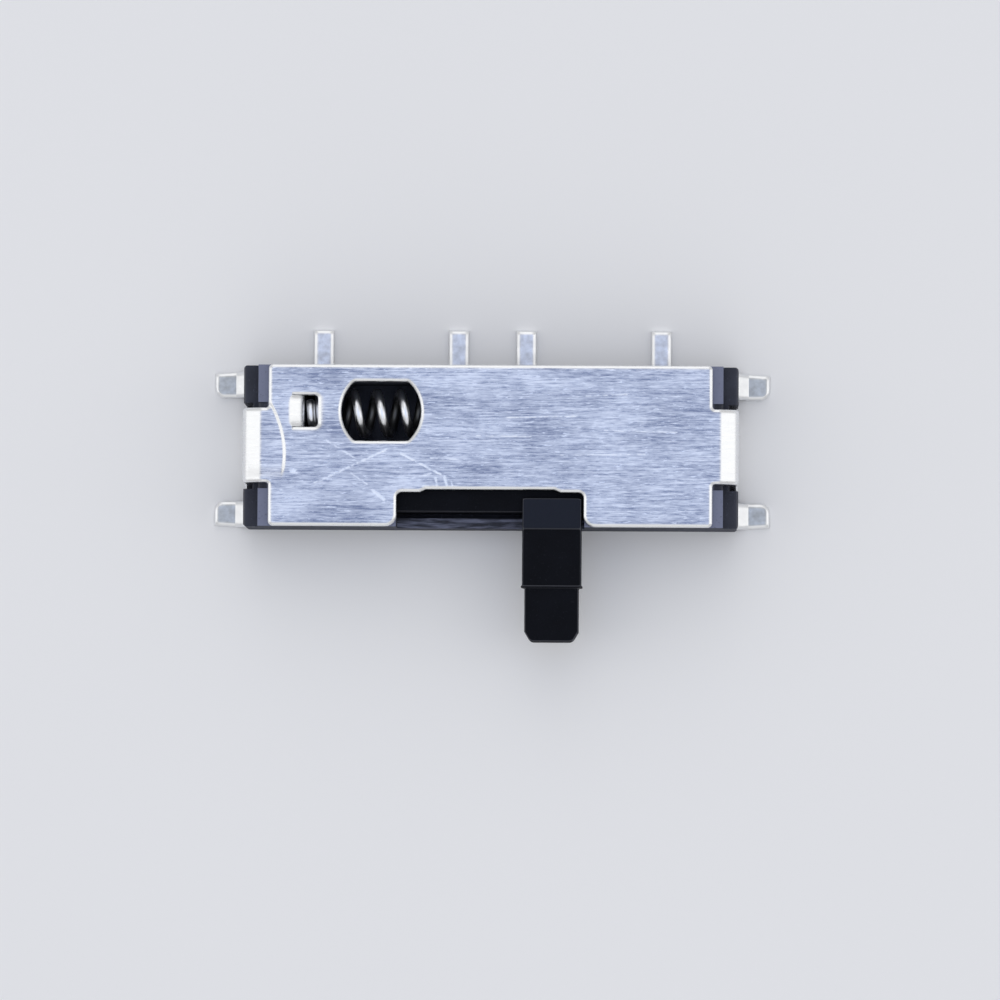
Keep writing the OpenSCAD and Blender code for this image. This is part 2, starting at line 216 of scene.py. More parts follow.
def section(low_a, high_a, low_b, high_b, top, bottom, steps=6):
    """Round-cornered rectangle in (a, b) for every station, run anticlockwise.

    Each corner is a quarter ellipse about a centre set in from the two sides by its radii. top and
    bottom are (radius along a, radius along b) for the upper and lower corners. Two extra points on
    each side, a small share in from its ends, keep the flats flat when shaded smooth."""
    low_a, high_a, low_b, high_b = np.broadcast_arrays(
        *(np.asarray(v, float) for v in (low_a, high_a, low_b, high_b)))
    angles = np.linspace(0, np.pi / 2, steps)
    room_a, room_b = (high_a - low_a) / 2, (high_b - low_b) / 2
    sides = []
    for turn, (radius_a, radius_b) in enumerate((top, top, bottom, bottom)):
        reach_a = np.minimum(radius_a, CORNER_MOST * room_a)[:, None]
        reach_b = np.minimum(radius_b, CORNER_MOST * room_b)[:, None]
        right, upper = turn in (0, 3), turn in (0, 1)
        centre_a = high_a[:, None] - reach_a if right else low_a[:, None] + reach_a
        centre_b = high_b[:, None] - reach_b if upper else low_b[:, None] + reach_b
        swing = angles + turn * np.pi / 2
        sides.append(np.stack([centre_a + reach_a * np.cos(swing),
                               centre_b + reach_b * np.sin(swing)], -1))
    loops = []
    for here, after in zip(sides, sides[1:] + sides[:1]):
        last, first = here[:, -1:], after[:, :1]
        loops += [here, last + SIDE_HOLD * (first - last), first + SIDE_HOLD * (last - first)]
    return np.concatenate(loops, 1)


def end_inset(distance, radius):
    """How far a round end has come in at a distance d from it: r minus the root of r squared less (r - d)
    squared."""
    near = np.clip(radius - distance, 0, radius)
    return radius - np.sqrt(np.maximum(radius ** 2 - near ** 2, 0))


def stations(start, stop, edge, extra=(), steps=7):
    """Places along a loft: close together in the round ends, with extra ones between."""
    turn = edge * (1 - np.cos(np.linspace(0, np.pi / 2, steps)))
    step = 1 if stop > start else -1
    inner = np.asarray(sorted(extra, reverse=step < 0), float)
    return np.concatenate([start + step * turn, inner, stop - step * turn[::-1]])


def lifted(flat, along, axis):
    """Sections in the two other coordinates, set at their places along an axis as a closed loft."""
    rings = np.empty(flat.shape[:2] + (3,))
    rings[..., axis] = along[:, None]
    rings[..., (axis + 1) % 3], rings[..., (axis + 2) % 3] = flat[..., 0], flat[..., 1]
    return tube(rings)


def block(low, high, edge, axis):
    """A box with every edge rounded, lofted along one axis from section() and end_inset()."""
    low, high = np.asarray(low, float), np.asarray(high, float)
    a, b = (axis + 1) % 3, (axis + 2) % 3
    along = stations(low[axis], high[axis], edge, np.linspace(low[axis], high[axis], 4)[1:-1])
    inset = end_inset(along - low[axis], edge) + end_inset(high[axis] - along, edge)
    flat = section(low[a] + inset, high[a] - inset, low[b] + inset, high[b] - inset,
                   (edge, edge), (edge, edge))
    return lifted(flat, along, axis)


def rod(start, stop, centre, radius, axis, edge, around=32):
    """A round bar along one axis, from start to stop: circles that end_inset() makes smaller at both ends."""
    along = stations(start, stop, edge)
    inset = end_inset(along - start, edge) + end_inset(stop - along, edge)
    swing = np.linspace(0, 2 * np.pi, around, endpoint=False)
    circle = np.stack([np.cos(swing), np.sin(swing)], -1)
    return lifted(np.asarray(centre) + (radius - inset)[:, None, None] * circle, along, axis)


# Finishes

MATHS, RAMP, MIX = "ShaderNodeMath", "ShaderNodeMapRange", "ShaderNodeMix"


def add(tree, kind, inputs=(), out=0, **settings):
    """Adds a node with its settings, sets or links its inputs by order or by name, and gives one output, if
    it has any."""
    made = tree.nodes.new(kind)
    for key, value in settings.items():
        setattr(made, key, value)
    for key, value in inputs.items() if isinstance(inputs, dict) else enumerate(inputs):
        if isinstance(value, bpy.types.NodeSocket):
            tree.links.new(value, made.inputs[key])
        else:
            made.inputs[key].default_value = value
    return made.outputs[out] if made.outputs else None


def new_finish(name):
    """An empty material: (material, its node tree, coordinates in metres)."""
    material = bpy.data.materials.new(name)
    material.use_nodes = True
    material.node_tree.nodes.clear()
    return material, material.node_tree, add(material.node_tree, "ShaderNodeTexCoord", out="Object")


def end_finish(tree, inputs):
    """Ends a material with its surface shader, whose inputs are set or linked by name."""
    shader = add(tree, "ShaderNodeBsdfPrincipled", inputs)
    add(tree, "ShaderNodeOutputMaterial", (shader,))


def grain(tree, place, per_mm, detail=3.0, roughness=0.55, seed=0.0):
    """Noise whose features are 1 / per_mm millimetres long on each axis."""
    scaled = add(tree, "ShaderNodeMapping", {0: place, 1: (seed, seed * 1.7, seed * 0.6),
                                             3: tuple(v / MM for v in per_mm)})
    return add(tree, "ShaderNodeTexNoise",
               {0: scaled, "Scale": 1.0, "Detail": detail, "Roughness": roughness})


def scaled_colour(value, share):
    """A colour with its light scaled by a share, with an alpha of 1."""
    return (*(share * v for v in value), 1)


def facing(tree):
    """The parts of the surface normal along X, Y and Z."""
    return add(tree, "ShaderNodeSeparateXYZ", (add(tree, "ShaderNodeTexCoord", out="Normal"),)).node.outputs


def painted_highlight_and_scratches(tree, toned, scratched=None):
    """Mixes a metal's colour with a bright one by tilt and on scratches: none on level faces, all of it from
    a tilt of about 18 degrees on; partly burnish where a die has rolled the edges, and partly a painted
    highlight on every tilted face, bends and walls too."""
    upright = add(tree, MATHS, (facing(tree)[2],), operation="ABSOLUTE")
    # Painted highlight: the bright colour follows the tilt alone, on bends and walls as on rolled edges
    share = add(tree, RAMP, (upright, 0.99, 0.95))
    if scratched is not None:
        share = add(tree, MATHS, (share, scratched), operation="MAXIMUM")
    return add(tree, MIX, {0: share, 6: toned, 7: (*colours().bright_edges_and_highlight, 1)}, 2, data_type="RGBA")


def painted_edge_highlight(tree):
    """A painted highlight: 0.8 halfway round a piece's rounded edges and 0 on its faces, by the largest part
    of the normal.
    """
    largest = 0.0
    for part in facing(tree):
        size = add(tree, MATHS, (part,), operation="ABSOLUTE")
        largest = add(tree, MATHS, (size, largest), operation="MAXIMUM")
    return add(tree, RAMP, (largest, 0.86, 0.74, 0.0, 0.8))


def scratch(tree, x, y, start, stop, width, strength):
    """Mask of one straight scratch: its strength on the segment from start to stop, 0 beyond its half width.

    With t the clamped share along the segment, the distance is that from (x, y) to the point at t."""
    (ax, ay), (bx, by) = start, stop
    run = (bx - ax) ** 2 + (by - ay) ** 2
    off_x = add(tree, MATHS, (x, ax), operation="SUBTRACT")
    off_y = add(tree, MATHS, (y, ay), operation="SUBTRACT")
    share = add(tree, MATHS, (off_x, (bx - ax) / run), operation="MULTIPLY")
    share = add(tree, MATHS, (off_y, (by - ay) / run, share), operation="MULTIPLY_ADD", use_clamp=True)
    gap_x = add(tree, MATHS, (share, ax - bx, off_x), operation="MULTIPLY_ADD")
    gap_y = add(tree, MATHS, (share, ay - by, off_y), operation="MULTIPLY_ADD")
    square = add(tree, MATHS, (gap_x, gap_x), operation="MULTIPLY")
    square = add(tree, MATHS, (gap_y, gap_y, square), operation="MULTIPLY_ADD")
    distance = add(tree, MATHS, (square,), operation="SQRT")
    return add(tree, RAMP, (distance, 0.0, width, strength, 0.0))


# Scratches of the cover in millimetres: start, stop, half width, strength
SCRATCHES = (
    ((-3.85, -0.84), (-2.27, -0.09), 0.035, 0.8),
    ((-1.96, -0.18), (-1.08, -0.64), 0.035, 0.9),
    ((-2.57, -0.99), (-2.33, -1.19), 0.05, 1.0),
    ((-1.2, -0.72), (-1.14, -0.98), 0.04, 1.0),
    ((-1.45, -0.9), (-0.95, -0.98), 0.06, 0.8),
    ((-1.0, -0.7), (-0.92, -0.97), 0.04, 0.9),
    ((-0.86, -0.78), (-0.8, -0.94), 0.03, 0.8),
    ((-1.7, -0.72), (-1.3, -0.62), 0.03, 0.6),
    ((-4.36, -0.56), (-4.26, -0.59), 0.07, 1.0),
    ((-3.6, 0.1), (-2.95, -0.3), 0.028, 0.5),
    ((-3.05, -0.62), (-2.7, -0.86), 0.025, 0.5),
    ((-1.3, -0.28), (-0.7, -0.3), 0.03, 0.7),
    ((0.35, 0.62), (1.9, 0.66), 0.02, 0.7),
    ((-0.3, 0.22), (0.9, 0.2), 0.016, 0.6),
    ((1.55, -0.2), (3.4, -0.17), 0.02, 0.6),
    ((2.5, 0.35), (4.1, 0.31), 0.02, 0.6),
    ((2.1, 1.1), (3.0, 1.14), 0.02, 0.6),
)


def nickel_plated_steel():
    """Cold-rolled steel sheet, nickel plated and then punched.

    The eye sees a cool satin silver with fine lighter and darker lines along the rolling direction,
    broad faint bands, and a few bright handling scratches."""
    c = colours()
    material, tree, place = new_finish("nickel_plated_steel")
    fine = grain(tree, place, (4.0, 34.0, 4.0), 4.0, 0.7)
    lines = grain(tree, place, (1.2, 22.0, 1.2), 3.0, 0.6, 3.1)
    bands = grain(tree, place, (0.7, 1.6, 0.7), 3.0, 0.55, 7.7)
    rolled = add(tree, MATHS, (lines, 0.45), operation="MULTIPLY")
    rolled = add(tree, MATHS, (fine, 0.55, rolled), operation="MULTIPLY_ADD")
    spread = add(tree, MATHS, (bands, 0.34, rolled), operation="MULTIPLY_ADD")
    glint = add(tree, RAMP, (grain(tree, place, (5.0, 26.0, 5.0), 3.0, 0.6, 5.3), 0.6, 0.7, 0.0, 0.8))
    share = add(tree, MATHS, (add(tree, RAMP, (spread, 0.53, 0.8)), glint), operation="ADD")
    in_mm = add(tree, "ShaderNodeMapping", {0: place, 3: (1 / MM,) * 3})
    x, y, _ = add(tree, "ShaderNodeSeparateXYZ", (in_mm,)).node.outputs
    marks = 0.0
    for start, stop, width, strength in SCRATCHES:
        mark = scratch(tree, x, y, start, stop, width, strength)
        marks = add(tree, MATHS, (mark, marks), operation="MAXIMUM")
    broken = add(tree, RAMP, (grain(tree, place, (9.0, 9.0, 9.0), 2.0, 0.5, 1.3), 0.38, 0.55, 0.15, 0.85))
    paler_share = add(tree, MATHS, (marks, broken), operation="MULTIPLY")
    bright = add(tree, MATHS, (share, paler_share), operation="ADD", use_clamp=True)
    toned = add(tree, MIX, {0: bright, 6: (*c.steel_dark, 1), 7: (*c.steel, 1)}, 2, data_type="RGBA")
    relief = add(tree, MATHS, (rolled, paler_share), operation="SUBTRACT")
    end_finish(tree, {"Metallic": 1.0, "Base Color": painted_highlight_and_scratches(tree, toned, paler_share),
                      "Roughness": add(tree, RAMP, (rolled, 0.35, 0.65, 0.24, 0.34)),
                      "Normal": add(tree, "ShaderNodeBump", {"Distance": 0.004 * MM, "Height": relief})})
    return material


def tin_plated_brass(name, tin):
    """Brass strip, tin plated and formed: a pale, slightly cloudy silver with soft rolling lines."""
    material, tree, place = new_finish(name)
    cloud = grain(tree, place, (6.0, 6.0, 6.0), 4.0, 0.6)
    toned = add(tree, MIX, {0: add(tree, RAMP, (cloud, 0.32, 0.66)), 6: scaled_colour(tin, 0.72),
                            7: (*tin, 1)}, 2, data_type="RGBA")
    relief = grain(tree, place, (18.0, 18.0, 18.0))
    end_finish(tree, {"Metallic": 1.0, "Base Color": painted_highlight_and_scratches(tree, toned),
                      "Roughness": add(tree, RAMP, (cloud, 0.3, 0.7, 0.4, 0.27)),
                      "Normal": add(tree, "ShaderNodeBump", {"Distance": 0.004 * MM, "Height": relief})})
    return material


# Heights in millimetres over which the spring wire goes from painted shade below to its own colour above
PAINTED_SHADE_LINE = (0.95, 1.4)


def bright_spring_wire():
    """Hard-drawn stainless wire: smooth and bright on top, with painted shade low down in its channel, where
    it is darker and rougher."""
    c = colours()
    material, tree, place = new_finish("bright_spring_wire")
    height = add(tree, "ShaderNodeSeparateXYZ", (place,), 2)
    uneven = add(tree, MATHS, (grain(tree, place, (9.0, 9.0, 9.0)), 0.25 * MM, height),
                 operation="MULTIPLY_ADD")
    # Painted shade: below this line the wire darkens to 0.16 of its colour, as shade deep in its channel
    unshaded = add(tree, RAMP, (uneven, *(level * MM for level in PAINTED_SHADE_LINE)))
    toned = add(tree, MIX, {0: unshaded, 6: scaled_colour(c.wire, 0.16), 7: (*c.wire, 1)}, 2, data_type="RGBA")
    end_finish(tree, {"Metallic": 1.0, "Base Color": toned,
                      "Roughness": add(tree, RAMP, (unshaded, 0.0, 1.0, 0.42, 0.3))})
    return material


def phosphor_bronze():
    """Rolled phosphor bronze strip: a warm satin metal with fine lines along X."""
    bronze = colours().bronze
    material, tree, place = new_finish("phosphor_bronze")
    lines = grain(tree, place, (0.8, 20.0, 0.8))
    toned = add(tree, MIX, {0: lines, 6: scaled_colour(bronze, 0.75), 7: (*bronze, 1)}, 2, data_type="RGBA")
    end_finish(tree, {"Metallic": 1.0, "Base Color": toned,
                      "Roughness": add(tree, RAMP, (lines, 0.3, 0.7, 0.25, 0.38))})
    return material


def moulded_plastic(name, base, rough, grit_mm, depth_mm, gloss, paler_tone, sheen_from, streaks_at=None):
    """Black moulded plastic: a matt skin with grit of the stated size, flow clouds, paler specks, a painted
    highlight on rounded edges and a painted sheen, a paler tone on the faces above a height in millimetres;
    the same tone also runs in streaks along X on the level face at another one.

    The specks are ends of glass fibre at the skin, drawn as coarse as the render needs to show them."""
    material, tree, place = new_finish(name)
    cloud = grain(tree, place, (1.6, 1.6, 1.6))
    grit = grain(tree, place, (1 / grit_mm,) * 3, 4.0, 0.65, 2.3)
    height = add(tree, "ShaderNodeSeparateXYZ", (place,), 2)
    # Painted sheen: the faces above this height are painted paler
    paler_share = add(tree, RAMP, (height, sheen_from * MM, (sheen_from + 0.02) * MM))
    if streaks_at is not None:
        streaks = add(tree, RAMP, (grain(tree, place, (1.3, 14.0, 1.3), 3.0, 0.6, 4.1), 0.42, 0.62))
        level = add(tree, MATHS, (height, streaks_at * MM, 0.01 * MM), operation="COMPARE")
        for share in (level, add(tree, RAMP, (facing(tree)[2], 0.9, 0.95))):
            streaks = add(tree, MATHS, (streaks, share), operation="MULTIPLY")
        paler_share = add(tree, MATHS, (paler_share, streaks), operation="MAXIMUM")
    toned = scaled_colour(base, 0.75)
    specks = add(tree, RAMP, (grit, 0.6, 0.76))
    paler = tuple(2.0 * v + 0.008 for v in base)
    # The edge tone is a painted highlight on the rounded edges
    for share, other in ((add(tree, RAMP, (cloud, 0.35, 0.65)), base), (paler_share, paler_tone),
                         (painted_edge_highlight(tree), colours().plastic_edge_highlight), (specks, paler)):
        toned = add(tree, MIX, {0: share, 6: toned, 7: (*other, 1)}, 2, data_type="RGBA")
    end_finish(tree, {"IOR": 1.48, "Specular IOR Level": gloss, "Base Color": toned,
                      "Roughness": add(tree, RAMP, (grit, 0.3, 0.7, *rough)),
                      "Normal": add(tree, "ShaderNodeBump", {"Distance": depth_mm * MM, "Height": grit})})
    return material


# Cover, in millimetres: the plate, the flaps with their ears and hooks, the cut-out, the window and the tab

PLATE_HALF = np.array([4.875, 1.775])
PLATE_CORNER = 0.1
FLAP_HALF = 0.825
FLAP_ROOT = 0.06
FLAP_OUT = 5.46
FLAP_BEND_IN = 0.05
FLAP_SLOPE = math.radians(27)
SHOULDER = 0.24
HOOK_BEND_IN = 0.15
FLAP_HOOK_Z = 0.1
FLAP_HOOK_REACH = 0.4
FLAP_CORNER = 0.15
EAR_OUT = 0.1
EAR_CORNERS = (0.03, 0.05)
EAR_LOW, EAR_HIGH = 0.55, 0.85
CUT_HALF = 2.05
CUT_REAR = -1.025
CUT_CORNER = 0.12
CUT_MOUTH = 0.25
RELIEF_HALF = 1.475
RELIEF = 0.06
RELIEF_SLOPE = 0.07
RELIEF_CORNER = 0.04
WINDOW = np.array([-2.4, 0.75])
WINDOW_RADIUS = 0.875
WINDOW_HALF = 0.65
WINDOW_CORNER = 0.12
TAB_Y = 0.75
TAB_HALF = 0.345
TAB_FACE = -4.1
TAB_ROOT_X = -4.345
TAB_REACH = (0.37, 0.245)
TAB_SLOPE = math.radians(28)
TAB_RADII = (0.2, 0.22)
TAB_FLAT = 0.18
TAB_TIP_Z = 1.3
TAB_FLAT_TIP = -3.85
TAB_CORNER = 0.1
TAB_DRAWN = 0.85
SLIT_HALF = 0.35
SLIT_END = 0.002
TAB_HOLE_X = -3.79
TAB_HOLE_CORNER = 0.08
# Share of the usual roll on each edge of the tab's hole: five cut edges, then its rear, right and front rim
TAB_ROLLS = (0.15, 0.15, 0.15, 0.15, 0.15, 0.9, 1.8, 1.2)
# Share of the tab's length that is bent, margins that keep a flat flat, the burr, and steps of arcs and bends
TAB_TURN = 0.7
HOLD = 0.03
BURR = 0.012
LEAST_RADIUS = 0.002
ARC_STEPS = 9
BEND_CUTS = 9
BEND_HOLD = 0.02
FOLD_STEPS = 3000
# The step pressed beside the left flap: its curved line, its width, and where it fades out
EMBOSS_LINE = (-0.2435, -0.1055, -4.532)
EMBOSS_BAND = 0.1
EMBOSS_REAR, EMBOSS_FRONT, EMBOSS_DOWN = 0.14, 0.4, 0.8
# Where the blank is cut so that it can bend, and into how many places
LEFT_CUT = -3.5
MARGIN = 0.1
FLAP_SPAN = 4.675
TAB_LEFT = -4.9
TAB_CUTS_X, TAB_CUTS_Y, TAB_SWING = 26, 19, 1.5
EMBOSS_X, EMBOSS_Y = (-4.88, -4.41, 30), (-1.0, 1.0, 41)
EMBOSS_LEFT, EMBOSS_RIGHT, EMBOSS_WIDE = -5.2, -4.4, 1.1
WELD, TOUCH, ON_PLANE = 1e-4, 1e-5, 1e-6


def rounded_loop(corners, radii):
    """Closed outline with a tangent arc at each corner.

    An arc's centre lies on the corner's bisector at radius / sin(half angle). Its points turn evenly
    from one tangent point to the other, as a spherical mix of the two radius vectors."""
    before = np.roll(corners, 1, 0) - corners
    after = np.roll(corners, -1, 0) - corners
    before /= np.linalg.norm(before, axis=1, keepdims=True)
    after /= np.linalg.norm(after, axis=1, keepdims=True)
    half = np.arccos(np.clip((before * after).sum(1), -1, 1)) / 2
    bisector = before + after
    bisector /= np.linalg.norm(bisector, axis=1, keepdims=True)
    centre = corners + bisector * (radii / np.sin(half))[:, None]
    reach = (radii / np.tan(half))[:, None]
    first, last = corners + before * reach - centre, corners + after * reach - centre
    sweep = (np.pi - 2 * half)[:, None, None]
    t = np.linspace(0, 1, ARC_STEPS)[None, :, None]
    mixed = (np.sin((1 - t) * sweep) * first[:, None] + np.sin(t * sweep) * last[:, None]) / np.sin(sweep)
    return (centre[:, None] + mixed).reshape(-1, 2)


def parallel_loop(corners, radii, inset, shares=1.0):
    """The outline moved into the sheet by inset, times each edge's share: every edge shifts to its left.

    A corner's shift p solves p . left = inset for both of its edges. An outer corner's radius shrinks by the
    mean of the two insets, and an inner corner's grows by it."""
    edge = np.roll(corners, -1, 0) - corners
    edge /= np.linalg.norm(edge, axis=1, keepdims=True)
    left = np.stack([-edge[:, 1], edge[:, 0]], 1)
    left_before, edge_before = np.roll(left, 1, 0), np.roll(edge, 1, 0)
    give = inset * np.broadcast_to(shares, len(corners))
    give_before = np.roll(give, 1)
    dot = (left * left_before).sum(1)
    shift = ((give_before - dot * give)[:, None] * left_before
             + (give - dot * give_before)[:, None] * left) / (1 - dot ** 2)[:, None]
    outer = edge_before[:, 0] * edge[:, 1] - edge_before[:, 1] * edge[:, 0] > 0
    mean = (give + give_before) / 2
    turned = np.where(outer, np.maximum(radii - mean, LEAST_RADIUS), radii + mean)
    return rounded_loop(corners + shift, turned)


def running_line(marks, angles):
    """A line whose angle below the level changes evenly between marks: tables of (length, place, fall).

    Place and fall are the running sums of the angle's cosine and sine, so a stretch where the angle
    changes is an arc and one where it holds is straight."""
    fine = np.linspace(0, marks[-1], FOLD_STEPS)
    turn = np.interp(fine, marks, angles)
    middle = (turn[1:] + turn[:-1]) / 2
    place, fall = (np.concatenate([[0], np.cumsum(part(middle))]) * fine[1] for part in (np.cos, np.sin))
    return fine, place, fall


def flap_line(sheet):
    """A flap's middle line: (where it starts, lengths at its marks, angles there, height of its wall's top).

    It goes over a sloped shoulder between two equal arcs to an upright wall, and round an arc to the hook.
    The wall takes the height that is left."""
    bend, hook = FLAP_BEND_IN + sheet / 2, HOOK_BEND_IN + sheet / 2
    upright = math.pi / 2
    start = FLAP_OUT - sheet / 2 - bend - SHOULDER * math.cos(FLAP_SLOPE)
    wall_top = COVER_TOP - sheet / 2 - bend - SHOULDER * math.sin(FLAP_SLOPE)
    wall = wall_top - FLAP_HOOK_Z - sheet / 2 - hook
    tail = FLAP_HOOK_REACH + sheet / 2 - hook
    marks = np.cumsum([0, bend * FLAP_SLOPE, SHOULDER, bend * (upright - FLAP_SLOPE), wall, hook * upright,
                       tail])
    angles = np.array([0, FLAP_SLOPE, FLAP_SLOPE, upright, upright, 2 * upright, 2 * upright])
    return start, marks, angles, wall_top


def cover_outline(sheet):
    """Corners and radii of the flat blank, run anticlockwise from the front left corner."""
    start, marks, _, wall_top = flap_line(sheet)
    ear_far = start + marks[3] + wall_top - EAR_LOW
    ear_near = start + marks[3] + wall_top - EAR_HIGH
    half_x, half_y = PLATE_HALF
    wide = FLAP_HALF + EAR_OUT
    inner, outer = EAR_CORNERS
    corner = [(half_x, half_y, PLATE_CORNER)]
    flap = [(half_x, FLAP_HALF, FLAP_ROOT), (ear_near, FLAP_HALF, inner), (ear_near + EAR_OUT, wide, outer),
            (ear_far - EAR_OUT, wide, outer), (ear_far, FLAP_HALF, inner),
            (start + marks[-1], FLAP_HALF, FLAP_CORNER)]
    cut = [(CUT_HALF, -half_y, CUT_MOUTH), (CUT_HALF, CUT_REAR, CUT_CORNER),
           (RELIEF_HALF + RELIEF_SLOPE, CUT_REAR, RELIEF_CORNER),
           (RELIEF_HALF - RELIEF_SLOPE, CUT_REAR + RELIEF, RELIEF_CORNER)]
    # Each run of corners with its mirroring along X and Y: front, right, rear, left
    runs = ((corner, -1, -1), (cut, -1, 1), (cut[::-1], 1, 1), (corner, 1, -1), (flap, 1, -1),
            (flap[::-1], 1, 1), (corner, 1, 1), (corner, -1, 1), (flap, -1, 1), (flap[::-1], -1, -1))
    table = np.concatenate([np.array(run) * (x, y, 1) for run, x, y in runs])
    return table[:, :2], table[:, 2]


def tab_outline():
    """Corners and radii of the hole round the lanced tab, run clockwise so that the sheet is on the left."""
    table = np.array([
        (TAB_ROOT_X, TAB_Y - SLIT_HALF, SLIT_END), (TAB_ROOT_X, TAB_Y - TAB_HALF, SLIT_END),
        (TAB_FLAT_TIP, TAB_Y - TAB_HALF, TAB_CORNER), (TAB_FLAT_TIP, TAB_Y + TAB_HALF, TAB_CORNER),
        (TAB_ROOT_X, TAB_Y + TAB_HALF, SLIT_END), (TAB_ROOT_X, TAB_Y + SLIT_HALF, SLIT_END),
        (TAB_HOLE_X, TAB_Y + SLIT_HALF, TAB_HOLE_CORNER), (TAB_HOLE_X, TAB_Y - SLIT_HALF, TAB_HOLE_CORNER)])
    return table[:, :2], table[:, 2]


def window_loop(inset):
    """Round-ended window moved into the sheet by inset, clockwise.

    It is a round hole cut off by two flats, with small corner arcs between. The corner centres lie on
    the arc of radius R less the corner's, at the flats' height less the same; each corner turns from
    that arc's direction to the flat's."""
    reach = np.arcsin((WINDOW_HALF - WINDOW_CORNER) / (WINDOW_RADIUS - WINDOW_CORNER))
    centre = (WINDOW_RADIUS - WINDOW_CORNER) * np.array([np.cos(reach), np.sin(reach)])
    turn = np.linspace(np.pi / 2, reach, ARC_STEPS)
    upper = centre + (WINDOW_CORNER + inset) * np.stack([np.cos(turn), np.sin(turn)], 1)
    swing = np.linspace(reach, -reach, 4 * ARC_STEPS)[1:-1]
    side = (WINDOW_RADIUS + inset) * np.stack([np.cos(swing), np.sin(swing)], 1)
    right = np.concatenate([upper, side, upper[::-1] * (1, -1)])
    return WINDOW + np.concatenate([right, -right])


def edge_profile(s):
    """(inset, depth) pairs of a punched edge, from the top face round the rolled edge, down the sheared
    wall and over a small burr to the lower face. The roll is a quarter ellipse."""
    swing = np.linspace(0, np.pi / 2, 8)
    roll = np.stack([s["roll_width"] * (1 - np.sin(swing)), s["roll_height"] * (1 - np.cos(swing))], 1)
    wall = [(0, s["sheet"] - BURR), (BURR, s["sheet"]), (BURR + HOLD, s["sheet"])]
    return np.concatenate([[(s["roll_width"] + HOLD, 0)], roll, wall])


def flat_cover(s):
    """The blank as a closed mesh: (x, y, depth below the top face) before it is bent."""
    profile = edge_profile(s)
    blank, tab = cover_outline(s["sheet"]), tab_outline()
    rows = [(parallel_loop(*blank, inset), parallel_loop(*tab, inset, TAB_ROLLS), window_loop(inset))
            for inset in profile[:, 0]]
    grids = [np.array([np.column_stack([loop, np.full(len(loop), depth)])
                       for loop, depth in zip(loops, profile[:, 1])]) for loops in zip(*rows)]
    points, faces = joined([(grid.reshape(-1, 3), ring_faces(*grid.shape[:2])) for grid in grids])
    rims = bpy.data.meshes.new("rims")
    rims.from_pydata(points, [], faces)
    made = bmesh.new()
    made.from_mesh(rims)
    bpy.data.meshes.remove(rims)
    for depth in (profile[0, 1], profile[-1, 1]):
        rim = [e for e in made.edges if e.is_boundary and abs(e.verts[0].co.z - depth) < TOUCH]
        bmesh.ops.triangle_fill(made, edges=rim, use_beauty=True)
    return made


def cut_planes(made, axis, places, span_x, span_y):
    """Cuts the faces whose middle lies in a span along X and one along Y by planes across an axis."""
    normal = Vector((axis == 0, axis == 1, 0))
    for place in places:
        middles = [(face, face.calc_center_median()) for face in made.faces]
        near = [face for face, middle in middles
                if span_x[0] < middle.x < span_x[1] and span_y[0] < middle.y < span_y[1]]
        geometry = list({v for f in near for v in f.verts} | {e for f in near for e in f.edges}) + near
        bmesh.ops.bisect_plane(made, geom=geometry, dist=ON_PLANE, plane_co=normal * place, plane_no=normal)


def weld(made):
    """Joins points that lie within a tenth of a micrometre of each other, and removes the faces that had no
    area."""
    bmesh.ops.remove_doubles(made, verts=made.verts, dist=WELD)
    bmesh.ops.dissolve_degenerate(made, dist=WELD, edges=made.edges)


def folded(reach, depth, sheet):
    """Where the blank's points go along a flap: (x, z). The middle line follows running_line(), and a point
    stands off it along its normal by half the sheet less its depth."""
    start, marks, angles, _ = flap_line(sheet)
    fine, place, fall = running_line(marks, angles)
    past = reach - start
    angle = np.interp(past, marks, angles)
    rise = sheet / 2 - depth
    return (np.minimum(reach, start) + np.interp(past, fine, place) + rise * np.sin(angle),
            COVER_TOP - sheet / 2 - np.interp(past, fine, fall) + rise * np.cos(angle))


def lanced(x, y, depth, top):
    """The tab pressed down from the sheet: (x, z, whether a point is on it).

    Its upper face follows running_line() over a sloped flat to an upright face, and then runs straight down
    to the tip. The line is smaller towards the tab's edges, by the root of 1 less the fourth power of the
    share across. A point's depth is measured along the normal, in a sheet drawn thinner by the same share so
    that the inner side keeps a radius."""
    across = np.sqrt(1 - np.clip(np.abs(y - TAB_Y) / TAB_HALF, 0, 1) ** 4)
    reach = TAB_REACH[1] + (TAB_REACH[0] - TAB_REACH[1]) * across
    start = TAB_FACE - reach
    share = np.clip((x - start) / (TAB_FLAT_TIP - start), 0, 1)
    marks = np.cumsum([0, TAB_RADII[0] * TAB_SLOPE, TAB_FLAT, TAB_RADII[1] * (np.pi / 2 - TAB_SLOPE)])
    angles = np.array([0, TAB_SLOPE, TAB_SLOPE, np.pi / 2])
    fine, place, fall = running_line(marks, angles)
    size = reach / place[-1]
    drawn = depth * TAB_DRAWN * size
    along = np.minimum(share / TAB_TURN, 1) * marks[-1]
    down = np.maximum(share - TAB_TURN, 0) / (1 - TAB_TURN) * (top - size * fall[-1] - TAB_TIP_Z)
    angle = np.interp(along, marks, angles)
    on_tab = (x > start) & (x < TAB_FLAT_TIP + WELD) & (np.abs(y - TAB_Y) < TAB_HALF + WELD)
    return (start + size * np.interp(along, fine, place) - drawn * np.sin(angle),
            top - size * np.interp(along, fine, fall) - down - drawn * np.cos(angle), on_tab)


def smooth_step(value):
    """0 up to 0, 1 from 1 on, and 3 t squared less 2 t cubed between."""
    t = np.clip(value, 0, 1)
    return t * t * (3 - 2 * t)


